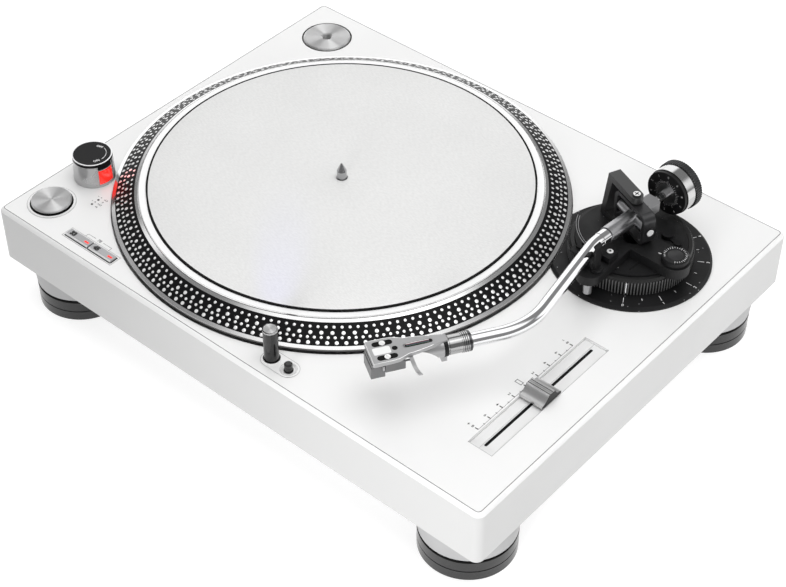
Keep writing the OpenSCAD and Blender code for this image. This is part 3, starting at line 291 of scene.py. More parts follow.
def glyphs(text, size, thick=0.08, weight=0.0):
    """Figures as solid plates, centred, from the built-in typeface; size and thickness in millimetres."""
    curve = bpy.data.curves.new("glyphs", "FONT")
    curve.body = text
    curve.size = size * MM
    curve.extrude = thick * MM / 2
    curve.offset = weight * MM
    curve.resolution_u = 3
    curve.align_x = "CENTER"
    curve.align_y = "CENTER"
    obj = bpy.data.objects.new("glyphs", curve)
    bpy.context.scene.collection.objects.link(obj)
    bpy.context.view_layer.update()
    mesh = bpy.data.meshes.new_from_object(obj.evaluated_get(bpy.context.evaluated_depsgraph_get()))
    points = np.zeros(len(mesh.vertices) * 3)
    mesh.vertices.foreach_get("co", points)
    faces = [tuple(p.vertices) for p in mesh.polygons]
    bpy.data.objects.remove(obj)
    bpy.data.curves.remove(curve)
    bpy.data.meshes.remove(mesh)
    points = points.reshape(-1, 3)
    points[:, 2] += thick * MM / 2
    middle = (points.min(0) + points.max(0)) / 2
    points[:, :2] -= middle[:2]
    return points, faces


def place(part, at, turn=None):
    """A surface turned by a matrix and moved to a point in metres."""
    pts = np.asarray(part[0], float)
    if turn is not None:
        pts = pts @ np.asarray(turn).T
    return (pts + np.asarray(at, float), part[1], *part[2:])


def screw_head(radius, height, depth=0.3):
    """Domed screw head with a slot, seen from above, about the origin in millimetres.

    Height over the head = height (1 - r^2 / 4) with r as a share, sunk by the depth inside the slot.
    """
    rings = np.linspace(0, 1, 9)
    a = full_turn(48)
    r, t = np.meshgrid(rings, a, indexing="ij")
    x, y = r * radius * np.cos(t), r * radius * np.sin(t)
    arm = 0.17 * radius
    inside = (np.abs(x) < arm) & (np.abs(y) < 0.62 * radius)
    z = height * (1 - r**2 / 4) - depth * inside
    top = np.stack([x, y, z], axis=-1).reshape(-1, 3)
    wall = np.column_stack([circle(radius, 48), np.zeros(48)])
    pts = np.concatenate([top, wall]) * MM
    faces = [tuple(f) for f in grid_faces(len(rings) + 1, 48, wrap_columns=True)]
    faces.append(tuple(range(len(pts) - 48, len(pts))))
    return pts, faces


def socket_head(radius, height, depth=1.0):
    """Round screw head with a six-sided hole, about the origin in millimetres.

    Rings run from the hole's hexagon out to the circle.
    The hexagon's radius is its flat / cos of the angle from the nearest flat.
    """
    a = full_turn(48)
    flat = 0.42 * radius
    six = flat / np.cos((a + math.pi / 6) % (math.pi / 3) - math.pi / 6)
    rings = [
        (np.zeros(48) + 0.001, height - depth), (six, height - depth), (six, height),
        (np.full(48, radius * 0.86), height),
        (np.full(48, radius), height - 0.14 * radius), (np.full(48, radius), 0.0),
        (np.zeros(48) + 0.001, 0.0),
    ]
    pts = np.concatenate(
        [np.column_stack([r * np.cos(a), r * np.sin(a), np.full(48, z)]) for r, z in rings]
    ) * MM
    return pts, grid_faces(len(rings), 48, wrap_columns=True)


def ring(inner, outer, low, high, at, steps=64, axis=None, soft=0.0):
    """A flat ring turned round an axis, in millimetres, with its upper edges cut by the soft width."""
    profile = [
        (inner, low), (inner, high - soft), (inner + soft, high), (outer - soft, high),
        (outer, high - soft), (outer, low),
    ]
    if not soft:
        profile = [(inner, low), (inner, high), (outer, high), (outer, low)]
    return lathe(profile, at, steps, axis)


def ribbed(rows, steps):
    """Rings of points in metres from (radius, height) rows in millimetres; a radius is a number or a wave."""
    a = full_turn(steps)
    rings = [np.column_stack([r * np.cos(a), r * np.sin(a), np.full(steps, z)]) for r, z in rows]
    return np.concatenate(rings) * MM


# Shading.


def group(name, inputs, outputs):
    """An empty shader group with named sockets, and its nodes for input and output."""
    tree = bpy.data.node_groups.new(name, "ShaderNodeTree")
    kinds = {"f": "NodeSocketFloat", "v": "NodeSocketVector", "c": "NodeSocketColor"}
    for label, kind, default in inputs:
        socket = tree.interface.new_socket(name=label, in_out="INPUT", socket_type=kinds[kind])
        socket.default_value = default
    for label, kind in outputs:
        tree.interface.new_socket(name=label, in_out="OUTPUT", socket_type=kinds[kind])
    return tree, tree.nodes.new("NodeGroupInput"), tree.nodes.new("NodeGroupOutput")


def node(tree, kind, links=None, values=None, **options):
    """A shader node with its options, socket values and incoming links."""
    made = tree.nodes.new(kind)
    for key, value in options.items():
        setattr(made, key, value)
    for key, value in (values or {}).items():
        made.inputs[key].default_value = value
    for key, source in (links or {}).items():
        tree.links.new(source, made.inputs[key])
    return made


def maths(tree, operation, a, b=None, c=None):
    """Output of a maths node whose inputs are sockets or numbers."""
    made = tree.nodes.new("ShaderNodeMath")
    made.operation = operation
    for socket, value in zip(made.inputs, (a, b, c)):
        if value is None:
            continue
        if isinstance(value, (int, float)):
            socket.default_value = value
        else:
            tree.links.new(value, socket)
    return made.outputs[0]


def times(tree, a, b):
    """Product of two sockets or numbers."""
    return maths(tree, "MULTIPLY", a, b)


def over(tree, value, limit):
    """One where a value is greater than a limit, else zero."""
    return maths(tree, "GREATER_THAN", value, limit)


def under(tree, value, limit):
    """One where a value is less than a limit, else zero."""
    return maths(tree, "LESS_THAN", value, limit)


def mix_colour(tree, factor, first, second):
    """Output of a colour mix; each input is a socket or a colour."""
    made = tree.nodes.new("ShaderNodeMix")
    made.data_type = "RGBA"
    for index, value in ((0, factor), (6, first), (7, second)):
        if hasattr(value, "links") or hasattr(value, "is_output"):
            tree.links.new(value, made.inputs[index])
        else:
            made.inputs[index].default_value = value
    return made.outputs[2]


def rgba(colour):
    """Four-part colour from a three-part one."""
    return (*tuple(colour)[:3], 1.0)


def build_groups():
    """The shared effects: moulded or painted finish, turned metal, speckle and radius from an axis."""
    tree, source, out = group(
        "moulded_finish",
        [
            ("Vector", "v", (0, 0, 0)),
            ("Colour", "c", (0.5, 0.5, 0.5, 1)),
            ("Shade", "c", (0.4, 0.4, 0.4, 1)),
            ("Mottle Scale", "f", 30.0),
            ("Grain Scale", "f", 2500.0),
            ("Roughness", "f", 0.4),
            ("Spread", "f", 0.1),
        ],
        [("Colour", "c"), ("Roughness", "f"), ("Height", "f")],
    )
    s = source.outputs
    mottle = node(
        tree, "ShaderNodeTexNoise", {"Vector": s["Vector"], "Scale": s["Mottle Scale"]}, {"Detail": 4.0}
    )
    grain = node(
        tree, "ShaderNodeTexNoise", {"Vector": s["Vector"], "Scale": s["Grain Scale"]}, {"Detail": 2.0}
    )
    spread = node(
        tree,
        "ShaderNodeMapRange",
        {"Value": mottle.outputs[0]},
        {"From Min": 0.35, "From Max": 0.65, "To Min": 0.0, "To Max": 1.0},
    )
    tone = maths(tree, "MULTIPLY_ADD", grain.outputs[0], 0.3, times(tree, spread.outputs[0], 0.7))
    tree.links.new(mix_colour(tree, tone, s["Colour"], s["Shade"]), out.inputs["Colour"])
    rough = maths(
        tree, "MULTIPLY_ADD", maths(tree, "SUBTRACT", spread.outputs[0], 0.5), s["Spread"], s["Roughness"]
    )
    tree.links.new(rough, out.inputs["Roughness"])
    tree.links.new(grain.outputs[0], out.inputs["Height"])

    tree, source, out = group(
        "from_axis",
        [("Vector", "v", (0, 0, 0))],
        [("Radius", "f"), ("Angle", "f"), ("Height", "f")],
    )
    parts = node(tree, "ShaderNodeSeparateXYZ", {0: source.outputs[0]}).outputs
    square = maths(tree, "MULTIPLY_ADD", parts[0], parts[0], times(tree, parts[1], parts[1]))
    tree.links.new(maths(tree, "SQRT", square), out.inputs["Radius"])
    tree.links.new(maths(tree, "ARCTAN2", parts[1], parts[0]), out.inputs["Angle"])
    tree.links.new(parts[2], out.inputs["Height"])

    tree, source, out = group(
        "turned_metal",
        [
            ("Radius", "f", 0.0),
            ("Height", "f", 0.0),
            ("Colour", "c", (0.8, 0.8, 0.8, 1)),
            ("Shade", "c", (0.6, 0.6, 0.6, 1)),
            ("Rings", "f", 2000.0),
            ("Roughness", "f", 0.25),
            ("Spread", "f", 0.15),
        ],
        [("Colour", "c"), ("Roughness", "f"), ("Height", "f")],
    )
    s = source.outputs
    where = node(tree, "ShaderNodeCombineXYZ", {0: s["Radius"], 2: s["Height"]})
    rings = node(
        tree, "ShaderNodeTexNoise", {"Vector": where.outputs[0], "Scale": s["Rings"]}, {"Detail": 3.0}
    )
    tree.links.new(mix_colour(tree, rings.outputs[0], s["Colour"], s["Shade"]), out.inputs["Colour"])
    rough = maths(tree, "MULTIPLY_ADD", rings.outputs[0], s["Spread"], s["Roughness"])
    tree.links.new(rough, out.inputs["Roughness"])
    tree.links.new(rings.outputs[0], out.inputs["Height"])

    tree, source, out = group(
        "speckle",
        [("Vector", "v", (0, 0, 0)), ("Scale", "f", 300.0), ("Size", "f", 0.12), ("Share", "f", 0.5)],
        [("Mask", "f")],
    )
    s = source.outputs
    cells = node(
        tree, "ShaderNodeTexVoronoi", {"Vector": s["Vector"], "Scale": s["Scale"]}, {"Randomness": 1.0}
    )
    near = under(tree, cells.outputs["Distance"], s["Size"])
    parts = node(tree, "ShaderNodeSeparateColor", {0: cells.outputs["Color"]})
    kept = under(tree, parts.outputs[0], s["Share"])
    tree.links.new(times(tree, near, kept), out.inputs["Mask"])


def start_material(name, **values):
    """A new material with its Principled shader set to uniform values, and an Object coordinate socket."""
    made = bpy.data.materials.new(name)
    made.use_nodes = True
    tree = made.node_tree
    shader = tree.nodes["Principled BSDF"]
    for key, value in values.items():
        shader.inputs[key.replace("_", " ")].default_value = value
    where = tree.nodes.new("ShaderNodeTexCoord").outputs["Object"]
    return made, tree, shader, where


def use_group(tree, name, links=None, values=None):
    """A shared group placed in a material."""
    made = tree.nodes.new("ShaderNodeGroup")
    made.node_tree = bpy.data.node_groups[name]
    for key, value in (values or {}).items():
        made.inputs[key].default_value = value
    for key, source in (links or {}).items():
        tree.links.new(source, made.inputs[key])
    return made.outputs


def add_bump(tree, shader, height, distance, strength=0.5):
    """Feeds a height into the shader's normal, in metres."""
    bump = node(tree, "ShaderNodeBump", {"Height": height}, {"Distance": distance, "Strength": strength})
    tree.links.new(bump.outputs[0], shader.inputs["Normal"])


def mottled(tree, where, colour, shade, mottle, grain, rough, spread):
    """The shared moulded effect, whose shade is a share of its colour."""
    values = {
        "Colour": rgba(colour), "Shade": rgba(tuple(c * shade for c in colour)), "Mottle Scale": mottle,
        "Grain Scale": grain, "Roughness": rough, "Spread": spread,
    }
    return use_group(tree, "moulded_finish", {"Vector": where}, values)


def moulded(
    name, colour, shade=0.85, mottle=30.0, grain=2500.0, rough=0.4, spread=0.08, bump=0.00002, **values
):
    """Painted or moulded finish: fine grain, slow change of tone and of gloss."""
    made, tree, shader, where = start_material(name, **values)
    out = mottled(tree, where, colour, shade, mottle, grain, rough, spread)
    tree.links.new(out["Colour"], shader.inputs["Base Color"])
    tree.links.new(out["Roughness"], shader.inputs["Roughness"])
    if bump:
        add_bump(tree, shader, out["Height"], bump)
    return made


def moved(tree, where, at):
    """Object coordinates measured from a point."""
    mapping = node(tree, "ShaderNodeMapping", {"Vector": where}, vector_type="TEXTURE")
    mapping.inputs["Location"].default_value = tuple(at)
    return mapping.outputs[0]


def grained(tree, where, scale, first, second):
    """A colour that goes between two others with a fine grain."""
    grain = node(tree, "ShaderNodeTexNoise", {"Vector": where}, {"Scale": scale, "Detail": 2.0})
    return mix_colour(tree, grain.outputs[0], rgba(first), rgba(second))


def round_pivot(tree, where):
    """Radius, angle and height about the tonearm's pivot."""
    return use_group(tree, "from_axis", {"Vector": moved(tree, where, (PIVOT.x, PIVOT.y, 0.0))})


def turned(
    name, at, colour, shade=0.75, rings=2500.0, rough=0.2, spread=0.15, bump=0.00001, radial=False, **values
):
    """Metal turned or spun round an upright axis: fine rings in tone, gloss and relief."""
    made, tree, shader, where = start_material(name, Metallic=1.0, **values)
    axial = use_group(tree, "from_axis", {"Vector": moved(tree, where, at)})
    shades = {
        "Colour": rgba(colour), "Shade": rgba(tuple(c * shade for c in colour)), "Rings": rings,
        "Roughness": rough, "Spread": spread,
    }
    out = use_group(tree, "turned_metal", {"Radius": axial["Radius"], "Height": axial["Height"]}, shades)
    tree.links.new(out["Colour"], shader.inputs["Base Color"])
    tree.links.new(out["Roughness"], shader.inputs["Roughness"])
    if radial:
        tangent = node(tree, "ShaderNodeTangent", direction_type="RADIAL", axis="Z")
        tree.links.new(tangent.outputs[0], shader.inputs["Tangent"])
    if bump:
        add_bump(tree, shader, out["Height"], bump)
    return made, tree, shader, axial, out


def between(tree, value, low, high):
    """One where a value lies between two numbers."""
    return times(tree, over(tree, value, low), under(tree, value, high)
    )


def rise(tree, value, low, high, start=0.0, end=1.0):
    """A smooth change from one number to another as a value goes from low to high."""
    limits = {"From Min": low, "From Max": high, "To Min": start, "To Max": end}
    return node(
        tree, "ShaderNodeMapRange", {"Value": value}, limits, interpolation_type="SMOOTHSTEP"
    ).outputs[0]


def platter_finish():
    """Turned aluminium, bright on the rim, with a black strobe band on the cone; two fine grooves on the rim
    are painted dark grey and the side below 3 mm near black, both painted shade.
    """
    made, tree, shader, axial, out = turned(
        "platter_turned", (SPINDLE.x, SPINDLE.y, 0.0), (0.86, 0.86, 0.86), shade=0.97, rings=500.0,
        rough=0.16, spread=0.02, bump=0, Specular_IOR_Level=0.12,
    )
    radius = axial["Radius"]
    cone = between(tree, radius, (BAND_IN + 0.01) * MM, (BAND_OUT + 0.42) * MM)
    on_band = times(tree, cone, over(tree, axial["Height"], DECK_Z + 0.0037))
    # dark grey rings for the rim's fine grooves: painted shade
    groove_shade = maths(
        tree, "MAXIMUM", between(tree, radius, 0.14790, 0.14815), between(tree, radius, 0.14725, 0.14745)
    )
    colour = mix_colour(tree, groove_shade, out["Colour"], (0.3, 0.3, 0.3, 1))
    # the platter's side below 3 mm above the deck is painted near black: painted shade of the gap under it
    wall = under(tree, axial["Height"], DECK_Z + 0.0030)
    colour = mix_colour(tree, times(tree, wall, 0.85), colour, (0.02, 0.02, 0.02, 1))
    colour = mix_colour(tree, on_band, colour, (0.005, 0.005, 0.0055, 1))
    tree.links.new(colour, shader.inputs["Base Color"])
    raised = over(tree, axial["Height"], DECK_Z + 0.0134)
    flat = times(tree, under(tree, radius, 0.1476), raised)
    bare = maths(tree, "SUBTRACT", 1.0, on_band)
    metal = times(tree, bare, maths(tree, "MULTIPLY_ADD", flat, -0.75, 1.0))
    tree.links.new(metal, shader.inputs["Metallic"])
    rough = maths(tree, "MAXIMUM", out["Roughness"], times(tree, on_band, 0.34))
    tree.links.new(rough, shader.inputs["Roughness"])
    return made


def felt_finish():
    """Silver-grey felt: fine slanting grain, sheen and a slow change of tone."""
    made, tree, shader, where = start_material(
        "mat_felt_top", Sheen_Weight=0.12, Sheen_Roughness=0.5, Specular_IOR_Level=0.2
    )
    base = tuple(bpy.context.scene.turntable_finish.mat)
    out = mottled(tree, where, base, shade=0.95, mottle=16.0, grain=1300.0, rough=0.7, spread=0.08)
    slant = node(
        tree, "ShaderNodeMapping", {"Vector": where},
        {"Rotation": (0, 0, 0.62), "Scale": (330.0, 1500.0, 1.0)},
    )
    fibres = node(tree, "ShaderNodeTexNoise", {"Vector": slant.outputs[0]}, {"Scale": 1.0, "Detail": 3.0})
    grain = rise(tree, fibres.outputs[0], 0.38, 0.62)
    shade = mix_colour(
        tree, times(tree, grain, 0.3), out["Colour"], rgba(tuple(c * 0.72 for c in base))
    )
    tree.links.new(shade, shader.inputs["Base Color"])
    tree.links.new(out["Roughness"], shader.inputs["Roughness"])
    relief = maths(tree, "ADD", out["Height"], fibres.outputs[0])
    add_bump(tree, shader, relief, 0.00005, 0.5)
    return made


def speckled(name, colour, scale, size, share, rough, **values):
    """Dark crackle paint with small pale specks."""
    made, tree, shader, where = start_material(name, **values)
    out = mottled(tree, where, colour, shade=0.6, mottle=60.0, grain=1500.0, rough=rough, spread=0.12)
    specks = {"Scale": scale, "Size": size, "Share": share}
    mask = use_group(tree, "speckle", {"Vector": where}, specks)["Mask"]
    tree.links.new(mix_colour(tree, mask, out["Colour"], (0.3, 0.3, 0.31, 1)), shader.inputs["Base Color"])
    tree.links.new(out["Roughness"], shader.inputs["Roughness"])
    add_bump(tree, shader, out["Height"], 0.00004)
    return made


def glowing(name, colour, strength):
    """Lit red plastic, uneven with a fine grain."""
    made, tree, shader, where = start_material(name, Roughness=0.25, Coat_Weight=0.3)
    tone = grained(tree, where, 220.0, colour, tuple(c * 0.6 for c in colour))
    tree.links.new(tone, shader.inputs["Base Color"])
    tree.links.new(tone, shader.inputs["Emission Color"])
    shader.inputs["Emission Strength"].default_value = strength
    return made


def foot_finish():
    """Polished dark rings of the feet; the groove between them and the neck above z 16.9 mm are painted matt
    black as painted shade.
    """
    made, tree, shader, where = start_material("foot_polished", Roughness=0.14, Specular_IOR_Level=0.5)
    z = node(tree, "ShaderNodeSeparateXYZ", {0: where}).outputs[2]
    # near black at the groove between the rings and on the neck above z 16.9 mm, under the collar: painted
    # shade
    above = over(tree, z, 16.9 * MM)
    groove_shade = maths(tree, "MAXIMUM", between(tree, z, 8.05 * MM, 9.35 * MM), above)
    plain = grained(tree, where, 4000.0, (0.025, 0.025, 0.0252), (0.02, 0.02, 0.0202))
    tree.links.new(mix_colour(tree, groove_shade, plain, (0.003, 0.003, 0.003, 1)), shader.inputs["Base Color"])
    return made


def rear_tube_finish():
    """Satin silver round the pivot, darker on the block and polished on the shaft behind it."""
    made, tree, shader, where = start_material("pivot_tube_satin", Metallic=1.0)
    d = math.radians(REAR_DIR)
    way = {1: (math.cos(d), math.sin(d), 0.0)}
    along = node(tree, "ShaderNodeVectorMath", {0: where}, way, operation="DOT_PRODUCT").outputs["Value"]
    start = PIVOT.x * math.cos(d) + PIVOT.y * math.sin(d)
    shaft = over(tree, along, start + 0.0202)
    block = over(tree, along, start + 0.0080)
    satin = grained(tree, where, 4000.0, (0.5, 0.5, 0.51), (0.42, 0.42, 0.43))
    satin = mix_colour(tree, block, satin, (0.27, 0.27, 0.275, 1))
    tree.links.new(mix_colour(tree, shaft, satin, (0.9, 0.9, 0.9, 1)), shader.inputs["Base Color"])
    tree.links.new(maths(tree, "MULTIPLY_ADD", shaft, -0.24, 0.32), shader.inputs["Roughness"])
    return made


def bridge_finish():
    """Dark satin bridge, with a bright screw face on the boss over the pivot, its cross painted near black as
    painted shade of the recess.
    """
    made, tree, shader, where = start_material("bridge_dark_satin", Metallic=0.8, Roughness=0.34)
    axial = round_pivot(tree, where)
    tone = grained(tree, where, 4500.0, (0.1, 0.1, 0.101), (0.08, 0.08, 0.081))
    high = over(tree, axial["Height"], DECK_Z + 0.0570)
    face = times(tree, high, under(tree, axial["Radius"], 0.0026))
    tone = mix_colour(tree, face, tone, (0.9, 0.9, 0.9, 1))
    # the screw's cross is painted near black: painted shade in its recess
    turn = maths(tree, "ABSOLUTE", maths(tree, "SINE", times(tree, axial["Angle"], 2.0)))
    cross = under(tree, times(tree, turn, axial["Radius"]), 0.0007)
    inner = times(tree, cross, under(tree, axial["Radius"], 0.0019))
    inner = times(tree, inner, face)
    tree.links.new(mix_colour(tree, inner, tone, (0.02, 0.02, 0.02, 1)), shader.inputs["Base Color"])
    return made


def grip_finish():
    """Black ribbed grip of the height ring: the rib tips painted a little paler as a painted highlight, the
    hollows black.
    """
    made, tree, shader, where = start_material("height_grip_black", Roughness=0.4, Specular_IOR_Level=0.4)
    axial = round_pivot(tree, where)
    slope = over(tree, axial["Height"], DECK_Z + 0.0139)
    # paler tips of the ribs: painted highlight
    tip_highlight = rise(tree, axial["Radius"], 0.0439, 0.0441)
    tone = mix_colour(tree, tip_highlight, (0.003, 0.003, 0.003, 1), (0.09, 0.09, 0.091, 1))
    tree.links.new(mix_colour(tree, slope, tone, (0.012, 0.012, 0.012, 1)), shader.inputs["Base Color"])
    return made


def slider_finish():
    """Satin silver slider; two grooves across its ridge and its narrow ends are painted near black as painted
    shade.
    """
    made, tree, shader, where = start_material("slider_silver", Metallic=0.9, Roughness=0.3)
    parts = node(tree, "ShaderNodeSeparateXYZ", {0: moved(tree, where, centre("tempo_knob"))}).outputs
    # near black on the ends and in two grooves across the ridge: painted shade
    end = over(tree, maths(tree, "ABSOLUTE", parts[0]), 0.0091)
    groove_shade = between(tree, maths(tree, "ABSOLUTE", parts[1]), 0.0013, 0.0017)
    tone = grained(tree, where, 5000.0, (0.68, 0.68, 0.68), (0.6, 0.6, 0.6))
    tone = mix_colour(tree, maths(tree, "MAXIMUM", end, groove_shade), tone, (0.015, 0.015, 0.015, 1))
    tree.links.new(tone, shader.inputs["Base Color"])
    return made


def spun(name, node_name, tone):
    """Spun metal face of a node: fine rings whose gloss stretches outwards, as on brushed discs."""
    gloss = {"rough": 0.5, "spread": 0.05, "radial": True, "Anisotropic": 1.0, "Anisotropic_Rotation": 0.25}
    return turned(name, centre(node_name), (tone, tone, tone), shade=0.92, rings=3500.0, bump=0, **gloss)[0]


# Values that several plain finishes share.
FLAT = {"mottle": 40.0, "grain": 4000.0, "bump": 0}
PLATED = {"mottle": 18.0, "grain": 9000.0, "bump": 0, "Metallic": 1.0}
MACHINED = {"mottle": 40.0, "grain": 5000.0, "Metallic": 1.0}
PLASTIC = {"mottle": 50.0, "grain": 3000.0}
POLISHED = {"mottle": 20.0, "grain": 9000.0, "rough": 0.1, "bump": 0}
DIM = {"Specular_IOR_Level": 0.3}
# Plain finishes by key: the material's name, its colour and its values, the shared ones first.
PLAIN = {
    # the tempo panel's white is darker than the deck's: painted shade in the recess
    "recess": ("recess_white_shaded", (0.76, 0.76, 0.758), dict(mottle=20.0, rough=0.45, bump=0.000006)),
    "tower": ("tower_silver", (0.55, 0.55, 0.553), dict(FLAT, shade=0.92, rough=0.3, Metallic=0.85)),
    "tray": (
        "tray_grey_plastic", (0.44, 0.44, 0.443), dict(mottle=20.0, grain=1600.0, rough=0.5, bump=0.00003)
    ),
    "satin": (
        "satin_silver_paint", (0.5, 0.5, 0.51),
        dict(shade=0.88, mottle=40.0, grain=4000.0, rough=0.36, Metallic=0.7, bump=0.00001),
    ),
    "key": (
        "key_silver_paint", (0.4, 0.4, 0.41),
        dict(shade=0.9, mottle=60.0, grain=6000.0, rough=0.42, Metallic=0.2, bump=0.00001),
    ),
    "arm_grey": (
        "arm_satin_grey", (0.07, 0.07, 0.072),
        dict(shade=0.86, mottle=60.0, grain=5000.0, rough=0.36, Metallic=0.8, bump=0.000008),
    ),
    "black": ("black_plastic", (0.007, 0.007, 0.0075), dict(PLASTIC | DIM, rough=0.45, spread=0.12)),
    "gloss_black": (
        "gloss_black_plastic", (0.006, 0.006, 0.0065),
        dict(grain=4000.0, rough=0.36, bump=0.000004, Specular_IOR_Level=0.16),
    ),
    "dot": (
        "strobe_dot_metal", (0.97, 0.97, 0.97),
        dict(shade=0.96, mottle=400.0, grain=8000.0, rough=0.2, Metallic=0.5, bump=0),
    ),
    # near black laid where there is only shade, at the mat's edge, slots and gaps: painted shade
    "felt_edge": (
        "painted_shade_black", (0.006, 0.006, 0.006),
        dict(DIM, mottle=400.0, grain=4000.0, rough=0.9, bump=0.0001),
    ),
    # dark grey for the deck's seam: painted shade
    "gasket": ("seam_shade_grey", (0.12, 0.12, 0.12), dict(FLAT, rough=0.7)),
    "chrome": ("chrome_plating", (0.9, 0.91, 0.92), dict(PLATED, shade=0.97, rough=0.05, spread=0.04)),
    "tube": ("arm_tube_chrome", (0.86, 0.86, 0.87), dict(PLATED, shade=0.97, rough=0.08)),
    "collar": ("locking_collar_chrome", (0.5, 0.5, 0.5), dict(PLATED, rough=0.12)),
    "spun_weight": ("weight_chrome", (0.7, 0.7, 0.7), dict(PLATED, rough=0.14)),
    "lamp_body": (
        "lamp_polished_dark", (0.012, 0.012, 0.0122), dict(POLISHED, spread=0.03, Specular_IOR_Level=0.5)
    ),
    "light_key": ("light_button_chrome", (0.02, 0.02, 0.02), dict(POLISHED, Specular_IOR_Level=0.7)),
    "screw": ("bright_screw", (0.9, 0.9, 0.9), dict(MACHINED, rough=0.3, Metallic=0.3, bump=0)),
    "cartridge": ("cartridge_grey", (0.15, 0.15, 0.152), PLASTIC),
    "grip": ("grip_black", (0.02, 0.02, 0.021), dict(PLASTIC, rough=0.34, Specular_IOR_Level=0.4)),
    "steel": ("steel_machined", (0.6, 0.6, 0.61), dict(MACHINED, rough=0.28, bump=0.00001)),
    "dark_steel": ("steel_dark_polished", (0.12, 0.12, 0.125), dict(MACHINED, rough=0.2, bump=0)),
    "brass": ("bearing_brass", (0.7, 0.52, 0.2), dict(mottle=60.0, grain=4000.0, rough=0.3, Metallic=1.0)),
    "copper": (
        "coil_copper", (0.72, 0.3, 0.12),
        dict(mottle=600.0, grain=5000.0, rough=0.3, Metallic=0.9, bump=0.0001)
    ),
    "magnet": ("magnet_dark", (0.06, 0.062, 0.065), dict(mottle=80.0, rough=0.5, Metallic=0.4)),
    "board": (
        "board_green_lacquer", (0.02, 0.13, 0.05),
        dict(mottle=200.0, grain=3000.0, rough=0.3, Coat_Weight=0.4),
    ),
    "shell_grey": (
        "headshell_silver", (0.46, 0.46, 0.465),
        dict(shade=0.9, mottle=50.0, grain=5000.0, rough=0.32, bump=0.000008, Metallic=0.7),
    ),
}
PRINT_TONES = {"black": 0.012, "grey": 0.16, "pale": 0.4, "white": 0.8}
LEAD_COLOURS = {"red": (0.2, 0.07, 0.065), "blue": (0.05, 0.06, 0.11), "green": (0.05, 0.09, 0.06)}


def build_materials():
    """Every finish of the turntable, kept by name."""
    look = bpy.context.scene.turntable_finish
    m = MATERIALS
    for key, (name, colour, values) in PLAIN.items():
        m[key] = moulded(name, colour, **values)
    m["white"] = moulded(
        "pearl_white_paint", look.panel, shade=0.97, mottle=14.0, grain=5200.0, rough=0.36, spread=0.06,
        bump=0.000004, Coat_Weight=0.25, Coat_Roughness=0.12, Metallic=0.03,
    )
    paint = {"shade": 0.97, "mottle": 9.0, "grain": 4200.0}
    # the sides' paint is a darker copy of the deck's white: painted shade for sides that take less light
    m["shell"] = moulded(
        "side_white_paint_shaded", look.shell, bump=0.000004, Coat_Weight=0.15, Coat_Roughness=0.2, **paint
    )
    # the bevel bead takes the deck's lighter white rather than the side paint: painted highlight along the
    # bevel
    m["bead"] = moulded("bevel_bead_white", look.panel, rough=0.3, bump=0, Coat_Weight=0.3, **paint)
    m["base_black"] = speckled("base_black_paint", (0.010, 0.010, 0.0105), 500.0, 0.07, 0.1, 0.48, **DIM)
    m["disc_black"] = speckled("disc_black_paint", (0.008, 0.008, 0.0085), 260.0, 0.1, 0.6, 0.5, **DIM)
    m["platter"] = platter_finish()
    m["felt"] = felt_finish()
    m["bridge"] = bridge_finish()
    m["height_grip"] = grip_finish()
    m["rear_tube"] = rear_tube_finish()
    m["slider"] = slider_finish()
    m["foot"] = foot_finish()
    m["spun_start"] = spun("start_spun_disc", "start_stop_button", 0.97)
    m["spun_adaptor"] = spun("adaptor_spun", "adaptor_45", 1.0)
    m["spun_lamp"] = spun("lamp_cap_spun", "target_light", 0.97)
    where = (SPINDLE.x, SPINDLE.y, 0.0)
    m["shaft"] = turned("spindle_turned", where, (0.5, 0.5, 0.51), rings=4000.0, rough=0.16, spread=0.1)[0]
    m["red"] = glowing("tower_window_red", look.glow, 0.8)
    m["led"] = glowing("key_light_red", look.glow, 0.9)
    for label, tone in PRINT_TONES.items():
        colour = (tone, tone, tone * 1.01)
        values = {"shade": 0.95, "mottle": 300.0, "grain": 6000.0, "rough": 0.5, "bump": 0}
        m["print_" + label] = moulded("printed_" + label, colour, **values)
    for label, colour in LEAD_COLOURS.items():
        m["wire_" + label] = moulded("lead_" + label, colour, mottle=300.0, grain=3000.0, bump=0)


NODE_FINISH = {
    "white": ["top_panel", "speed_bezel", "start_bezel", "light_tray"],
    "recess": ["tempo_panel"],
    "shell": ["plinth_shell"],
    "tray": ["base_tray"],
    "steel": ["power_supply", "tempo_fader", "stem_fl", "stem_fr", "stem_rl", "stem_rr", "weight_sleeve"],
    "board": ["main_board"],
    "copper": ["motor_stator"],
    "brass": ["bearing_housing"],
    "magnet": ["rotor_magnet"],
    "tower": ["strobe_tower"],
    "slider": ["tempo_knob"],
    "key": ["button_33", "button_45"],
    "red": ["strobe_window"],
    "black": [
        "adaptor_dish", "jack_bay", "mains_inlet", "height_lock", "arm_rest_clip", "antiskate_knob",
        "weight_dial",
        "lifter", "cue_lever",
    ],
    "cartridge": ["cartridge", "stylus"],
    "gloss_black": ["power_knob"],
    "lamp_body": ["target_light"],
    "disc_black": ["arm_disc", "height_ring"],
    "base_black": ["arm_base"],
    "chrome": ["output_jacks", "ground_nut"],
    "collar": ["locking_collar"],
    "light_key": ["light_button"],
    "tube": ["s_tube"],
    "spun_weight": ["counterweight"],
    "rear_tube": ["pivot_tube"],
    "bridge": ["arm_bridge"],
    "arm_grey": ["gimbal_ring"],
    "shell_grey": ["headshell", "finger_lift"],
    "platter": ["platter"],
    "shaft": ["spindle"],
    "spun_start": ["start_stop_button"],
    "spun_adaptor": ["adaptor_45"],
    "foot": ["foot_fl", "foot_fr", "foot_rl", "foot_rr"],
}


def dress(names, finish):
    """Gives CAD nodes a finish."""
    for name in names:
        mesh = NODES[name].data
        mesh.materials.clear()
        mesh.materials.append(MATERIALS[finish])


# Settings.


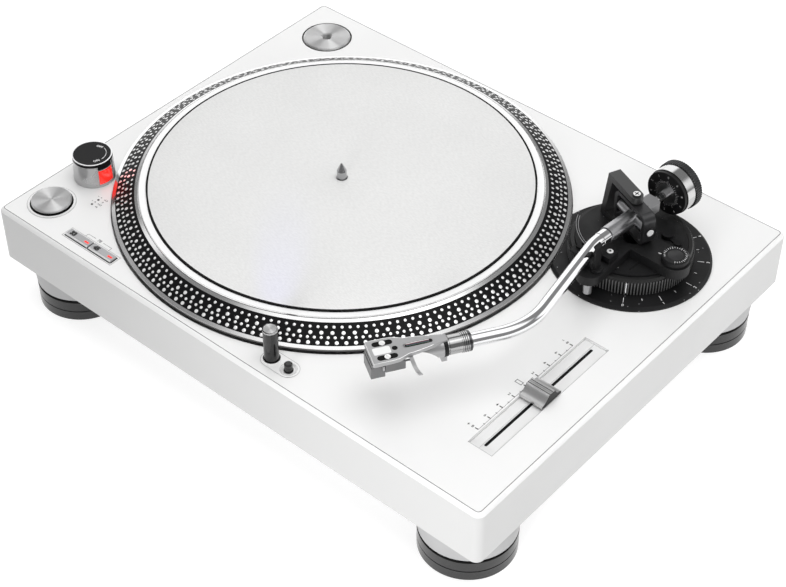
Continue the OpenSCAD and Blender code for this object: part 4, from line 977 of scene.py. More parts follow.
class FinishSettings(bpy.types.PropertyGroup):
    """Colours of the main finishes."""

    panel: FloatVectorProperty(
        name="Deck", description="Paint of the flat top", subtype="COLOR", min=0, max=1,
        default=(0.79, 0.79, 0.788)
    )
    # a darker copy of the deck's white paint: painted shade on the sides
    shell: FloatVectorProperty(
        name="Sides", description="Paint of the plinth sides", subtype="COLOR", min=0, max=1,
        default=(0.58, 0.58, 0.578)
    )
    mat: FloatVectorProperty(
        name="Mat", description="Felt of the mat", subtype="COLOR", min=0, max=1,
        default=(0.72, 0.72, 0.715)
    )
    glow: FloatVectorProperty(
        name="Red light", description="Tower window and key lights", subtype="COLOR", min=0, max=1,
        default=(0.95, 0.03, 0.02),
    )


class StrobeSettings(bpy.types.PropertyGroup):
    """Sizes of the dots on the strobe band."""

    small: FloatProperty(
        name="Small dot", description="Radius of a small dot", unit="LENGTH", min=0.0005, max=0.002,
        default=0.00104
    )
    large: FloatProperty(
        name="Large dot", description="Radius of a large dot", unit="LENGTH", min=0.0005, max=0.003,
        default=0.00136
    )
    proud: FloatProperty(
        name="Proud", description="Height of a dot above the band", unit="LENGTH", min=0.0001, max=0.001,
        default=0.00016
    )
    sides: IntProperty(name="Sides", description="Corners round one dot", min=8, max=24, default=12)


class MarkSettings(bpy.types.PropertyGroup):
    """Sizes of the printed marks."""

    figure: FloatProperty(
        name="Figure", description="Height of the scale figures, in millimetres", min=1.0, max=6.0,
        default=3.1
    )
    line: FloatProperty(
        name="Line", description="Width of the printed lines, in millimetres", min=0.1, max=1.0,
        default=0.35
    )


# Operators.


class TURNTABLE_OT_finishes(bpy.types.Operator):
    """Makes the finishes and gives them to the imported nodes"""

    bl_idname = "turntable.finishes"
    bl_label = "Finishes"

    def execute(self, context):
        build_groups()
        build_materials()
        for finish, names in NODE_FINISH.items():
            dress(names, finish)
        bare = set(NODES) - {n for names in NODE_FINISH.values() for n in names} - {"slipmat"}
        if bare:
            raise RuntimeError(f"nodes without a finish: {sorted(bare)}")
        return {"FINISHED"}


class TURNTABLE_OT_slipmat(bpy.types.Operator):
    """Lays the felt mat"""

    bl_idname = "turntable.slipmat"
    bl_label = "Felt mat"

    def execute(self, context):
        low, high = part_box("slipmat")
        radius = (high.x - low.x) / 2 / MM
        thick = (high.z - low.z) / MM
        hole = 4.27
        soft = 0.35
        profile = np.array(
            [
                (hole, 0.0), (hole, thick - 0.15), (hole + 0.12, thick), (40.0, thick), (80.0, thick),
                (115.0, thick),
                (radius - soft, thick), (radius - 0.1, thick - 0.1), (radius, thick - soft), (radius, 0.0),
                (115.0, 0.0), (60.0, 0.0),
            ]
        )
        pts, faces = lathe(profile, (SPINDLE.x, SPINDLE.y, low.z), steps=240)
        rows = len(profile)
        marks = np.repeat(np.arange(rows), 240)
        # the mat's hole, outer edge and underside and a ring just inside its rim are near black: painted
        # shade of the gap at its edge
        parts = [(pts, faces[(marks >= 1) & (marks <= 6)], 0), (pts, faces[(marks < 1) | (marks > 6)], 1)]
        parts.append((*ring(140.7, 142.15, 14.6, 14.76, (SPINDLE.x, SPINDLE.y, DECK_Z), 240)[:2], 1))
        mat = piece("felt_mat", parts, ["felt", "felt_edge"], "slipmat")
        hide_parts("slipmat")
        return {"FINISHED"}


class TURNTABLE_OT_strobe_dots(bpy.types.Operator):
    """Sets the four rows of flat-topped dots on the strobe band"""

    bl_idname = "turntable.strobe_dots"
    bl_label = "Strobe dots"

    def execute(self, context):
        s = context.scene.turntable_strobe
        slope = math.atan2(BAND_DROP, BAND_OUT - BAND_IN)
        # radius of the row, count of dots, radius of a dot and the share of a step by which the row leads
        rows = [
            (153.45, 180, s.small, 0.0), (157.05, 133, s.large, 0.4), (159.95, 216, s.small, 0.2),
            (163.2, 160, s.large, 0.1),
        ]
        parts = []
        for radius, count, size, lead in rows:
            a = full_turn(s.sides)
            ring = np.stack([np.cos(a), np.sin(a)], axis=1)
            rings = [(1.0, -0.1), (1.0, 0.7), (0.88, 1.0)]
            dot = np.concatenate(
                [np.column_stack([size * k * ring, np.full(s.sides, s.proud * h)]) for k, h in rings]
            )
            faces = [tuple(f) for f in grid_faces(3, s.sides, wrap_columns=True)]
            faces.append(tuple(range(2 * s.sides, 3 * s.sides)))
            faces.append(tuple(range(s.sides))[::-1])
            around = (np.arange(count) + lead) * 2 * math.pi / count
            c, q = np.cos(around), np.sin(around)
            out = np.stack([c, q, np.zeros(count)], axis=1)
            normal = out * math.sin(slope) + np.array([0.0, 0.0, math.cos(slope)])
            down = out * math.cos(slope) - np.array([0.0, 0.0, math.sin(slope)])
            side = np.cross(normal, down)
            turns = np.stack([down, side, normal], axis=2)
            height = BAND_TOP - (radius - BAND_IN) * math.tan(slope)
            where = out * radius * MM + np.array([SPINDLE.x, SPINDLE.y, DECK_Z + height * MM])
            parts.append(repeat((dot, faces), turns, where))
        piece("strobe_dots", parts, "dot", "platter", smooth=30)
        return {"FINISHED"}


def tick(length, width, at, degrees, thick=0.06):
    """A thin printed line, centred on a point and turned in the plane, in metres."""
    return place(bar(length, width, thick), at, turn_z(degrees))


def line_through(points, width, z, closed=False):
    """Printed lines from point to point in millimetres on the deck, each a thin bar."""
    points = [np.array(p, float) for p in points]
    ends = points[1:] + ([points[0]] if closed else [])
    parts = []
    for one, two in zip(points, ends):
        way = two - one
        middle = (one + two) / 2
        parts.append(
            tick(np.hypot(*way) + width, width, deck(*middle, z), math.degrees(math.atan2(way[1], way[0])))
        )
    return parts


def curved_plate(at, radii, heights, angles, thick, steps=24):
    """A plate that follows a cone between two heights and two angles, in millimetres and degrees.

    Point = centre + r (cos a, sin a), with r going from the first radius to the second as z goes up.
    The inner face lies the thickness further in.
    """
    a = np.radians(np.linspace(*angles, steps))
    (r0, r1), (z0, z1) = radii, heights
    rows = [(r0 - thick, z0), (r0, z0), (r1, z1), (r1 - thick, z1)]
    pts = np.concatenate(
        [np.column_stack([r * np.cos(a), r * np.sin(a), np.full(steps, z)]) for r, z in rows]
    ) * MM
    faces = [tuple(f) for f in grid_faces(4, steps, wrap_rows=True)]
    faces += [tuple(i * steps for i in range(4)), tuple(i * steps + steps - 1 for i in range(4))]
    return pts + np.asarray(at, float), faces


class TURNTABLE_OT_plinth_edges(bpy.types.Operator):
    """Lays the bead on the plinth's bevel, a dark strip in the seam and black rings in the feet's grooves as
    painted shade, and the socket rings
    """

    bl_idname = "turntable.plinth_edges"
    bl_label = "Plinth edges"

    def execute(self, context):
        at = (0.0, 0.0, DECK_Z)
        # arc of a circle over the chord from (0, -2.55) to (3, 0), standing 0.35 proud of it
        chord = np.array([3.0, 2.55])
        t = np.linspace(0, 1, 9)[:, None]
        across = np.array([-chord[1], chord[0]]) / np.hypot(*chord)
        arc = np.array([0.0, -2.55]) + t * chord + 4 * 0.35 * t * (1 - t) * across
        arc = arc + np.array([0.02, -0.02])
        profile = np.concatenate([arc, [[2.9, -0.5], [0.3, -2.75]]])
        bead = band(rounded(450.0, 352.0, 6.0, 8), profile, at)
        piece("plinth_bevel_bead", [bead], "bead", "deck", smooth=25)
        # dark grey strip filling the seam round the deck: painted shade
        gasket = band(
            rounded(444.1, 346.1, 3.05, 8),
            [(0.0, -0.9), (0.0, 0.015), (0.45, 0.015), (0.45, -0.2), (0.3, -0.9)], at,
        )
        piece("deck_seam_shade", [gasket], "gasket", "deck")
        for name in ("fl", "fr", "rl", "rr"):
            foot = centre("foot_" + name)
            where = (foot.x, foot.y, 0.0)
            # black rings laid in each foot's grooves: painted shade
            groove_shade = [ring(28.2, 33.5, 8.35, 9.05, where, 96), ring(28.1, 31.0, 17.95, 19.5, where, 96)]
            piece("foot_groove_" + name, groove_shade, "black", "foot_" + name)
        low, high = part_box("output_jacks")
        z = (low.z + high.z) / 2
        for name, x, finish in (("left", 48.0, "print_white"), ("right", 66.0, "wire_red")):
            collar = ring(5.6, 7.0, 0.0, 0.9, (x * MM, 0.160, z), 48, axis=(0, 1, 0), soft=0.2)
            piece("jack_ring_" + name, [collar], finish, "deck")
        return {"FINISHED"}


class TURNTABLE_OT_deck_marks(bpy.types.Operator):
    """Prints the figures, ticks and lines of the deck"""

    bl_idname = "turntable.deck_marks"
    bl_label = "Deck marks"

    def execute(self, context):
        s = context.scene.turntable_marks
        z = 0.01
        # bracket with 78 behind the speed keys
        grey = [place(glyphs("78", 3.6, 0.06, 0.06), deck(-140.4, -152.4, z))]
        grey += line_through([(-152.2, -155.3), (-152.2, -152.3), (-144.6, -152.3)], 0.28, z)
        grey += line_through([(-136.6, -152.3), (-128.1, -152.3), (-128.1, -155.3)], 0.28, z)
        # strobe legend between the tower and the keys: four dots, each with its number
        dark = []
        for y, radius, text in (
            (-128.3, 0.9, "+6"), (-125.1, 0.45, "+3.3"), (-122.0, 0.9, "0"), (-118.9, 0.45, "-3.3")
        ):
            dark.append(place(loft(circle(radius, 16), [(0, 0), (0, 0.06)]), deck(-175.3, y, z)))
            grey.append(place(glyphs(text, 2.2, 0.05, 0.06), deck(-170.6, y, z)))
        grey += [tick(1.2, 0.35, deck(-178.1, y, z), 0) for y in (-125.2, -119.1)]
        # outlines of the keys' bezel and of the start-stop button
        low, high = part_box("speed_bezel")
        apart = 0.35
        x0, x1 = low.x / MM - apart, high.x / MM + apart
        y0, y1 = low.y / MM - apart, high.y / MM + apart
        pale = line_through([(x0, y0), (x1, y0), (x1, y1), (x0, y1)], 0.25, z, closed=True)
        start = centre("start_stop_button")
        pale.append(ring(17.75, 18.05, 0.01, 0.06, (start.x, start.y, DECK_Z), 96))
        piece("deck_marks", grey, "print_grey", "deck")
        piece("legend_dots", dark, "print_black", "deck")
        piece("control_outlines", pale, "print_pale", "deck")
        # tempo scale left of the slider
        scale, fine, line_x = [], [], 177.9
        back, front = -18.2, -118.9
        middle, step = (back + front) / 2, (back - front) / 16
        fine.append(tick(back - front, s.line * 0.8, deck(line_x, middle, z), 90))
        for i in range(-8, 9):
            y = middle + i * step
            if i % 2:
                fine.append(tick(1.3, 0.5, deck(line_x - 0.2, y, z), 0))
                continue
            scale.append(tick(2.5, 0.75, deck(line_x - 1.3, y, z), 0))
            if i:
                scale.append(place(glyphs(str(abs(i)), s.figure, 0.06, 0.04), deck(line_x - 4.5, y, z)))
        scale.append(place(bar(1.5, 0.4, 0.06), deck(line_x - 7.9, back, z)))
        scale += [
            place(bar(1.7, 0.4, 0.06), deck(line_x - 7.9, front, z)),
            tick(1.7, 0.4, deck(line_x - 7.9, front, z), 90),
        ]
        x0, x1, y0, y1 = line_x - 8.7, line_x - 3.7, middle - 1.3, middle + 1.3
        fine += line_through([(x0, y0), (x1, y0), (x1, y1), (x0, y1)], 0.5, z, closed=True)
        piece("tempo_figures", scale, "print_black", "deck")
        piece("tempo_lines", fine, "print_grey", "deck")
        # bright lip beside the slot as a painted highlight of its edge, the recess's outline as painted shade
        # along its walls, and the dark curtain in the slot as painted shade
        highlight_lip = [tick(SLOT_LENGTH, 0.5, deck(SLOT_X - 1.35, SLOT_Y, -1.59), 90, thick=0.12)]
        piece("slot_highlight_lip", highlight_lip, "screw", "deck")
        x0, x1, y0, y1 = 179.55, 198.65, -131.15, -6.25
        rim = line_through([(x0, y0), (x1, y0), (x1, y1), (x0, y1)], 0.35, z, closed=True)
        rim.append(tick(SLOT_LENGTH, 0.3, deck(SLOT_X - 1.8, SLOT_Y, -1.59), 90))
        piece("recess_edge_shade", rim, "print_pale", "deck")
        slot = [tick(SLOT_LENGTH - 0.5, 2.15, deck(SLOT_X, SLOT_Y, -1.9), 90, thick=0.1)]
        piece("slot_shade_curtain", slot, "felt_edge", "deck")
        return {"FINISHED"}


class TURNTABLE_OT_left_controls(bpy.types.Operator):
    """Dresses the strobe tower, the start-stop button and the speed keys"""

    bl_idname = "turntable.left_controls"
    bl_label = "Left controls"

    def execute(self, context):
        low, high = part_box("power_knob")
        tower = (low + high) / 2
        at = np.array([tower.x, tower.y, high.z])
        # white rim round the black cap, and its marks
        rim_line = [
            (14.36, -0.42), (14.6, -0.42), (14.77, -0.2), (14.77, -0.05), (14.5, 0.03), (13.9, 0.03),
            (13.9, -0.1),
        ]
        marks = []
        for text, angle, radius, lean in (("OFF", 100, 9.4, 14), ("ON", -23, 9.6, 63)):
            marks.append(
                place(
                    glyphs(text, 3.0, 0.05, 0.05), at + turn_z(angle) @ np.array([radius * MM, 0, 0]),
                    turn_z(lean),
                )
            )
        arc = np.column_stack([circle(10.4 * MM, 33, 0, 78), np.full(33, 0.02 * MM)]) + at
        marks.append(sweep(arc, 0.2 * MM, 8))
        piece(
            "tower_cap_rim", [lathe(rim_line, at, 128)], "print_white", "power_knob",
        )
        piece("tower_cap_marks", marks, "print_white", "power_knob")
        # dark band over the lit window, and a pale frame round it
        foot = np.array([tower.x, tower.y, DECK_Z])

        def cone(z):
            return 15.5 - 0.75 * z / 20.7

        shade = curved_plate(foot, (cone(15.0) + 0.06, cone(18.2) + 0.06), (15.0, 18.2), (-28.3, 20.7), 0.3)
        piece("tower_shade", [shade], "gloss_black", "deck")
        a = np.radians(np.linspace(-28.3, 20.7, 25))
        parts = []
        for z_mid in (2.3, 14.9):
            radius = cone(z_mid) + 0.02
            path = np.column_stack([radius * np.cos(a), radius * np.sin(a), np.full(25, z_mid)]) * MM + foot
            parts.append(sweep(path, 0.25 * MM, 8))
        for angle in (-28.3, 20.7):
            z = np.linspace(2.3, 18.2, 6)
            radius = cone(z) + 0.02
            c, q = cos_sin(angle)
            path = np.column_stack([radius * c, radius * q, z]) * MM + foot
            parts.append(sweep(path, 0.25 * MM, 8, up=(-q, c, 0)))
        piece("tower_window_frame", parts, "satin", "deck")
        # dark foot ring of the start-stop button and a dark ring in the deck round it: painted shade of the
        # gap under the button
        start = centre("start_stop_button")
        where = np.array([start.x, start.y, DECK_Z])
        foot_ring = lathe(
            [(15.22, -0.6), (15.22, 1.5), (15.28, 1.7), (14.9, 1.72), (14.9, -0.6)], where, 128
        )
        piece(
            "start_button_shade_ring", [foot_ring], "gloss_black", "start_stop_button",
        )
        piece(
            "start_gap_shade", [ring(15.32, 15.9, -0.6, 0.27, where, 128)], "felt_edge", "deck",
        )
        # dark ring round the 45 adaptor: painted shade of its gap
        dish = centre("adaptor_45")
        gap = ring(19.3, 20.0, -0.8, 0.05, (dish.x, dish.y, DECK_Z), 128)
        piece("adaptor_gap_shade", [gap], "felt_edge", "deck")
        # speed keys: figures, lights, front lips painted pale as a painted highlight, and dark strips at
        # their front and right as painted shade
        gap_shades = []
        for name, text in (("button_33", "33"), ("button_45", "45")):
            low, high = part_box(name)
            z = high.z + 0.005 * MM
            y = (low.y + high.y) / 2
            figure = place(glyphs(text, 5.0, 0.06, 0.42), (low.x + 5.0 * MM, y + 0.4 * MM, z))
            piece(name + "_figure", [figure], "print_black", name)
            lights = [place(bar(1.25, 1.5, 0.12), (high.x - (5.1 - 1.35 * i) * MM, y, z)) for i in range(3)]
            piece(name + "_light", lights, "led", name)
            lean = facing((0, -0.7, 0.9), (0, 0.9, 0.7))
            highlight_lip = place(
                bar(22.8, 1.25, 0.08), ((low.x + high.x) / 2, low.y + 0.45 * MM, high.z - 0.33 * MM), lean
            )
            piece(name + "_highlight_lip", [highlight_lip], "screw", name)
            middle = (low.x + high.x) / 2 / MM
            gap_shades.append(tick(23.4, 0.8, deck(middle, low.y / MM - 0.42, 0.0), 0, thick=0.14))
            gap_shades.append(tick(7.0, 0.7, deck(high.x / MM + 0.38, y / MM, 0.0), 90, thick=0.14))
        piece("key_gap_shade", gap_shades, "felt_edge", "deck")
        return {"FINISHED"}


class TURNTABLE_OT_front_controls(bpy.types.Operator):
    """Dresses the lamp and its button"""

    bl_idname = "turntable.front_controls"
    bl_label = "Front controls"

    def execute(self, context):
        low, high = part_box("target_light")
        lamp = (low + high) / 2
        at = np.array([lamp.x, lamp.y, high.z])
        line = [
            (0.0, 0.02), (4.3, 0.02), (4.72, -0.02), (5.12, -0.42), (5.12, -1.5), (4.9, -1.5), (4.2, -0.3),
            (0.0, -0.3),
        ]
        piece("lamp_cap", [lathe(line, at, 64)], "spun_lamp", "target_light")
        foot = (lamp.x, lamp.y, DECK_Z)
        button = centre("light_button")
        # black rings in the gaps round the lamp's foot and in the button's recess: painted shade
        rings = [
            ring(5.35, 5.95, 0.3, 1.24, foot, 64),
            ring(2.95, 3.3, -0.6, 0.1, (button.x, button.y, DECK_Z), 64),
        ]
        # the tray's long outline round lamp and button, and the round one of the button, pale lines as
        # painted shade along the tray's raised edges
        outline = []
        for left_x, radius, width, z, skip in (
            (LAMP_X, 7.62, 0.26, 0.165, 0), (KEY_X, 5.95, 0.18, 0.16, 1)
        ):
            half = circle(radius, 25, -90, 180)
            right = half + np.array([KEY_X, LAMP_Y])
            left = np.array([left_x, LAMP_Y]) - half[skip:len(half) - skip]
            outline += line_through([*right, *left], width, z, closed=True)
        piece("light_tray_edge_shade", outline, "print_pale", "deck")
        piece("lamp_shade_rings", rings, "black", "deck")
        return {"FINISHED"}


class TURNTABLE_OT_arm_base_marks(bpy.types.Operator):
    """Prints the height scale, cuts the grips of the height ring and dresses the arm base"""

    bl_idname = "turntable.arm_base_marks"
    bl_label = "Arm base"

    def execute(self, context):
        s = context.scene.turntable_marks
        marks = []
        for i in range(0, 13):
            angle = -60 + 15 * i
            full = i % 2 == 0
            reach = (47.2, 52.0) if full else (47.4, 49.4)
            mid, long = sum(reach) / 2, reach[1] - reach[0]
            c, q = cos_sin(angle)
            marks.append(tick(long, s.line, pivot(mid * c, mid * q, 3.005), angle))
            if full:
                marks.append(
                    place(
                        glyphs(str(i // 2), 3.2, 0.05), pivot(54.6 * c, 54.6 * q, 3.005), turn_z(angle + 90)
                    )
                )
        piece("height_scale", marks, "print_white", "deck")
        # grip ring: radius = 43.8 + 0.4 tanh(3 cos 126 a), between its foot and z 14.1
        a = full_turn(126 * 6)
        wave = 43.8 + 0.4 * np.tanh(3 * np.cos(126 * a))
        low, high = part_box("height_ring")
        base = (low.z - DECK_Z) / MM
        top = (high.z - DECK_Z) / MM
        rows = [
            (39.8, base), (43.3, base), (wave - 0.1, base + 0.25), (wave, base + 0.5), (wave, 13.5),
            (wave - 0.1, 13.8),
            (43.3, 14.1), (42.4, top), (39.8, top),
        ]
        pts = ribbed(rows, len(a)) + np.array([PIVOT.x, PIVOT.y, DECK_Z])
        faces = grid_faces(len(rows), len(a), wrap_rows=True, wrap_columns=True)
        grip = piece("height_grip", [(pts, faces)], "height_grip", "height_ring")
        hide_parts("height_ring")
        c, q = cos_sin(-59)
        turn = np.stack([np.array([-q, c, 0]), np.array([0, 0, 1.0]), np.array([c, q, 0])], axis=1)
        line = place(bar(0.7, 9.0, 0.12), pivot(44.15 * c, 44.15 * q, 9.4), turn)
        piece("ring_index", [line], "print_white", "height_ring")
        # fittings of the arm base
        sleeve = ring(2.82, 3.0, 4.3, 17.3, pivot(1.8, -53.5, 0), 48)
        piece("base_pin_sleeve", [sleeve], "satin", "arm_base")
        head = place(socket_head(1.7, 0.5), pivot(-4.6, -51.5, 29.4))
        piece("base_screws", [head], "screw", "arm_base")
        head = place(socket_head(2.3, 0.5), pivot(4.6, -34.0, 30.0))
        piece("lifter_screw", [head], "screw", "lifter")
        a = np.radians(np.linspace(-158, -112, 24))
        arcs = []
        for radius in (37.9, 39.4):
            path = np.column_stack(
                [radius * np.cos(a), radius * np.sin(a), np.full(24, 27.5)]
            ) * MM + pivot(0, 0, 0)
            arcs.append(sweep(path, 0.2 * MM, 8))
        piece("lifter_edges", arcs, "satin", "lifter")
        pale = [
            place(bar(0.6, 2.6, 0.06), pivot(28.9, -8.6, 25.02), turn_z(-80)),
            place(bar(1.6, 0.5, 0.06), pivot(10.6, -32.1, 17.52), turn_z(0)),
        ]
        piece("base_marks", pale, "print_white", "arm_base")
        # black plate standing for a slot in the base: painted shade
        slot = place(bar(10.2, 1.7, 0.05), pivot(18.8, -23.8, 17.5), turn_z(87))
        piece("base_slot_shade", [slot], "felt_edge", "arm_base")
        # tick ring and grey face of the anti-skate knob
        knob = centre("antiskate_knob")
        low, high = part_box("antiskate_knob")
        z = high.z
        spokes = []
        for i in range(24):
            angle = -60 + 12.5 * i
            c, q = cos_sin(angle)
            long = 1.8 if i % 4 == 0 else 1.1
            where = np.array([knob.x + 7.6 * MM * c, knob.y + 7.6 * MM * q, z])
            spokes.append(place(bar(long, 0.3, 0.05), where, turn_z(angle)))
        piece("antiskate_ticks", spokes, "print_white", "antiskate_knob")
        face = lathe([(0, 0.02), (5.3, 0.02), (5.6, -0.1), (5.6, -0.5), (0, -0.5)], (knob.x, knob.y, z), 64)
        piece("antiskate_face", [face], "grip", "antiskate_knob")
        return {"FINISHED"}


def tube_path():
    """Centreline of the S-shaped tube in metres, flat in the plane of the tube axis.

    Straight, arc, straight, arc and straight, joined without a step in direction.
    """
    front, middle, head = np.radians([REAR_DIR - 180, -79.8, HEAD_DIR])

    def unit(a):
        return np.array([math.cos(a), math.sin(a)])

    quarter = math.pi / 2
    one = TUBE_REAR * unit(front)
    two = one + TUBE_MIDDLE * unit(middle)
    cut_one = BEND_REAR * math.tan((middle - front) / 2)
    cut_two = BEND_HEAD * math.tan((middle - head) / 2)
    points = [one - unit(front) * t for t in np.linspace(TUBE_REAR - 29.5, cut_one, 6)]
    mid_one = one - cut_one * unit(front) + BEND_REAR * unit(front + quarter)
    points += [
        mid_one + BEND_REAR * unit(a) for a in np.linspace(front - quarter, middle - quarter, 16)[1:]
    ]
    points += [one + unit(middle) * t for t in np.linspace(cut_one, TUBE_MIDDLE - cut_two, 12)[1:]]
    mid_two = two - cut_two * unit(middle) + BEND_HEAD * unit(middle - quarter)
    points += [mid_two + BEND_HEAD * unit(a) for a in np.linspace(middle + quarter, head + quarter, 30)[1:]]
    points += [two + unit(head) * t for t in np.linspace(cut_two, TUBE_HEAD + 8.2, 10)[1:]]
    flat = np.array(points) * MM
    return np.column_stack([flat[:, 0] + PIVOT.x, flat[:, 1] + PIVOT.y, np.full(len(flat), AXIS_Z)])


def on_head(s, w, z):
    """A point in the headshell's own millimetres: forward from its neck, to its left and above the axis."""
    ahead, end = 8.5, tube_path()[-1]
    return end + turn_z(HEAD_DIR) @ np.array([s + ahead, w, z]) * MM


def on_plate(outline, s, w, thick=0.06):
    """A thin plate of the given outline on top of the headshell, turned with it."""
    return place(loft(outline, [(0, 0), (0, thick)]), on_head(s, w, PLATE_TOP), turn_z(HEAD_DIR))


class TURNTABLE_OT_tonearm(bpy.types.Operator):
    """Draws the smooth S-shaped tube and dresses the arm and its weight"""

    bl_idname = "turntable.tonearm"
    bl_label = "Tonearm"

    def execute(self, context):
        tube = piece(
            "tube_chrome", [sweep(tube_path(), TUBE_R * MM, 64)], "tube", "tonearm",
            smooth=50,
        )
        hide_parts("s_tube")
        d = math.radians(REAR_DIR - 180)
        way = np.array([math.cos(d), math.sin(d), 0.0])
        axis = np.array([PIVOT.x, PIVOT.y, AXIS_Z])
        line = [(0, 0), (4.9, 0), (5.15, 0.25), (5.15, 7.2), (4.9, 7.5), (0, 7.5)]
        piece(
            "tube_collar", [lathe(line, axis + way * 29.0 * MM, 64, axis=way)], "tube",
            "tonearm",
        )
        # numbers and fine spokes on the weight's dial
        back = -way
        at = axis + back * 34.6 * MM
        side = np.array([-back[1], back[0], 0.0])
        parts = []
        for i in range(40):
            angle = math.radians(i * 9)
            out = math.cos(angle) * np.array([0, 0, 1.0]) + math.sin(angle) * side
            face = np.stack([np.cross(out, back), -out, -back], axis=1)
            full = i % 4 == 0
            parts.append(
                place(bar(0.25, 3.0 if full else 1.8, 0.05), at + out * (9.6 if full else 9.0) * MM, face)
            )
            if full:
                parts.append(place(glyphs(str((i // 4) % 10), 2.5, 0.05, 0.03), at + out * 14.0 * MM, face))
        piece("weight_dial_marks", parts, "print_pale", "weight_dial")
        # grip of the weight: radius = 18.15 + 0.2 tanh(3 cos 60 a) along the rear ring
        a = full_turn(480)
        wave = 18.15 + 0.2 * np.tanh(3 * np.cos(60 * a))
        rows = [
            (16.4, 46.0), (17.6, 46.0), (wave, 46.3), (wave, 51.5), (17.6, 51.8), (13.0, 51.8),
            (13.0, 51.5),
            (16.4, 51.5),
        ]
        grip = (ribbed(rows, len(a)) @ facing(back).T + axis, grid_faces(len(rows), len(a), True, True))
        piece("weight_grip", [grip], "grip", "counterweight")
        # screws of the gimbal's bearings
        cross = math.radians(CROSS_DIR)
        aside = np.array([math.cos(cross), math.sin(cross), 0.0])
        ends = []
        for sign in (-1, 1):
            head = screw_head(2.6, 0.6)
            ends.append(place(head, axis + sign * aside * 20.3 * MM, facing(sign * aside)))
        piece("gimbal_screws", ends, "screw", "gimbal")
        return {"FINISHED"}


class TURNTABLE_OT_headshell(bpy.types.Operator):
    """Adds the screws, the four leads, the sealing ring and the knurled band of the headshell"""

    bl_idname = "turntable.headshell"
    bl_label = "Headshell"

    def execute(self, context):
        head = screw_head(2.0, 0.5)
        screws = [place(head, on_head(41.0, w, 7.85), turn_z(HEAD_DIR + 20)) for w in (-6.35, 6.35)]
        piece("headshell_screws", screws, "screw", "headshell")
        # black plates on the plate stand for the slots and hole through it: painted shade
        slots = [on_plate(rounded(13.6, 4.3, 2.14, 6), 41.0, w) for w in (-6.35, 6.35)]
        slots += [on_plate(circle(1.9, 24), 34.4, 0.0), on_plate(rounded(17.0, 3.6, 1.79, 6), 19.2, 0.0)]
        piece("headshell_slot_shade", slots, "felt_edge", "headshell")
        panel = on_plate(rounded(11.5, 6.4, 1.0, 4), 43.0, 0.0, 0.05)
        piece("headshell_panel", [panel], "screw", "headshell")
        # pale line along the plate's edge: painted highlight
        half = [
            (10.0, 4.3), (12.0, 4.9), (23.0, 7.0), (27.0, 7.3), (30.0, 8.6), (34.0, 10.1), (38.0, 10.5),
            (51.2, 10.7),
        ]
        edge = half + [(x, -w) for x, w in reversed(half)]
        rim = [sweep(np.array([on_head(x, w * 0.985, 7.68) for x, w in edge]), 0.22 * MM, 8)]
        piece("headshell_edge_highlight", rim, "screw", "headshell")
        pins = [place(bar(1.2, 1.6, 3.4), on_head(44.3, w, -1.2), turn_z(HEAD_DIR)) for w in (-8.3, 8.3)]
        piece("cartridge_clips", pins, "shell_grey", "headshell")
        for i, finish in enumerate(("print_white", "wire_red", "wire_blue", "wire_green")):
            w = -1.05 + 0.7 * i
            s = np.linspace(11.5, 27.0, 12)
            lift = 7.95 + 0.12 * np.sin(np.pi * (s - 11.5) / 15.5)
            path = np.array([on_head(x, w, z) for x, z in zip(s, lift)])
            piece(f"lead_{i + 1}", [sweep(path, 0.24 * MM, 8)], finish, "headshell")
        way = turn_z(HEAD_DIR)[:, 0]
        neck = on_head(0.0, 0.0, 0.0)
        seal = lathe(
            [(5.6, 0.1), (6.8, 0.1), (6.98, 0.4), (6.98, 2.6), (6.8, 2.9), (5.6, 2.9)], neck, 64, axis=way
        )
        piece("neck_seal", [seal], "black", "headshell")
        # knurled band on the locking collar: radius = 6.72 + 0.16 cos(40 a + 5 x), fading at both ends
        a = full_turn(160)
        x = np.linspace(-15.9, -10.5, 13)
        r = 6.72 + 0.16 * np.cos(
            40 * a[None, :] + 5.0 * x[:, None]
        ) * np.sin(np.pi * (x[:, None] + 15.9) / 5.4) ** 0.5
        outer = np.stack(
            [r * np.cos(a), r * np.sin(a), np.broadcast_to(x[:, None], r.shape)], axis=-1
        ).reshape(-1, 3)
        local = np.concatenate([outer * MM, ribbed([(6.3, -10.5), (6.3, -15.9)], 160)])
        knurl = (local @ facing(way).T + neck, grid_faces(15, 160, wrap_rows=True, wrap_columns=True))
        piece("collar_knurl", [knurl], "dark_steel", "locking_collar", smooth=50)
        return {"FINISHED"}


# brightness, azimuth clockwise from the back, elevation, full within and none beyond, in degrees
STUDIO_WINDOWS = [
    (1.0, 0, 88, 18, 30),
    (1.1, 75, 60, 12, 26),
    (1.1, 313, 20, 20, 30),
    (1.0, 35, 18, 14, 24),
    (1.0, 270, 38, 6, 10),
]
WALL_TONE = 0.25
# name, colour, place, aim, width in metres, cone in degrees (none for a flat panel) and watts
STUDIO_LIGHTS = [
    ("overhead", (1, 1, 1), (0.0, 0.2, 2.4), (0.0, 0.0, 0.08), 2.6, None, 36.5),
    ("front_right", (1, 1, 1), (0.42, -1.15, 0.3), (0.2, -0.17, 0.04), 0.16, 40, 32.0),
    ("right", (1, 1, 1), (1.5, 0.32, 0.3), (0.22, 0.06, 0.05), 0.16, 26, 14.0),
    ("tower_beam", (1, 0.02, 0.01), deck(-172.0, -94.0, 36), deck(-171.5, -94.0, 8), 0.001, 34, 0.08),
    ("lamp_beam", (0.02, 0.02, 1.0), deck(107.0, -248.0, 84), deck(-17.0, -95.0, 14.8), 0.004, 13, 0.45),
]


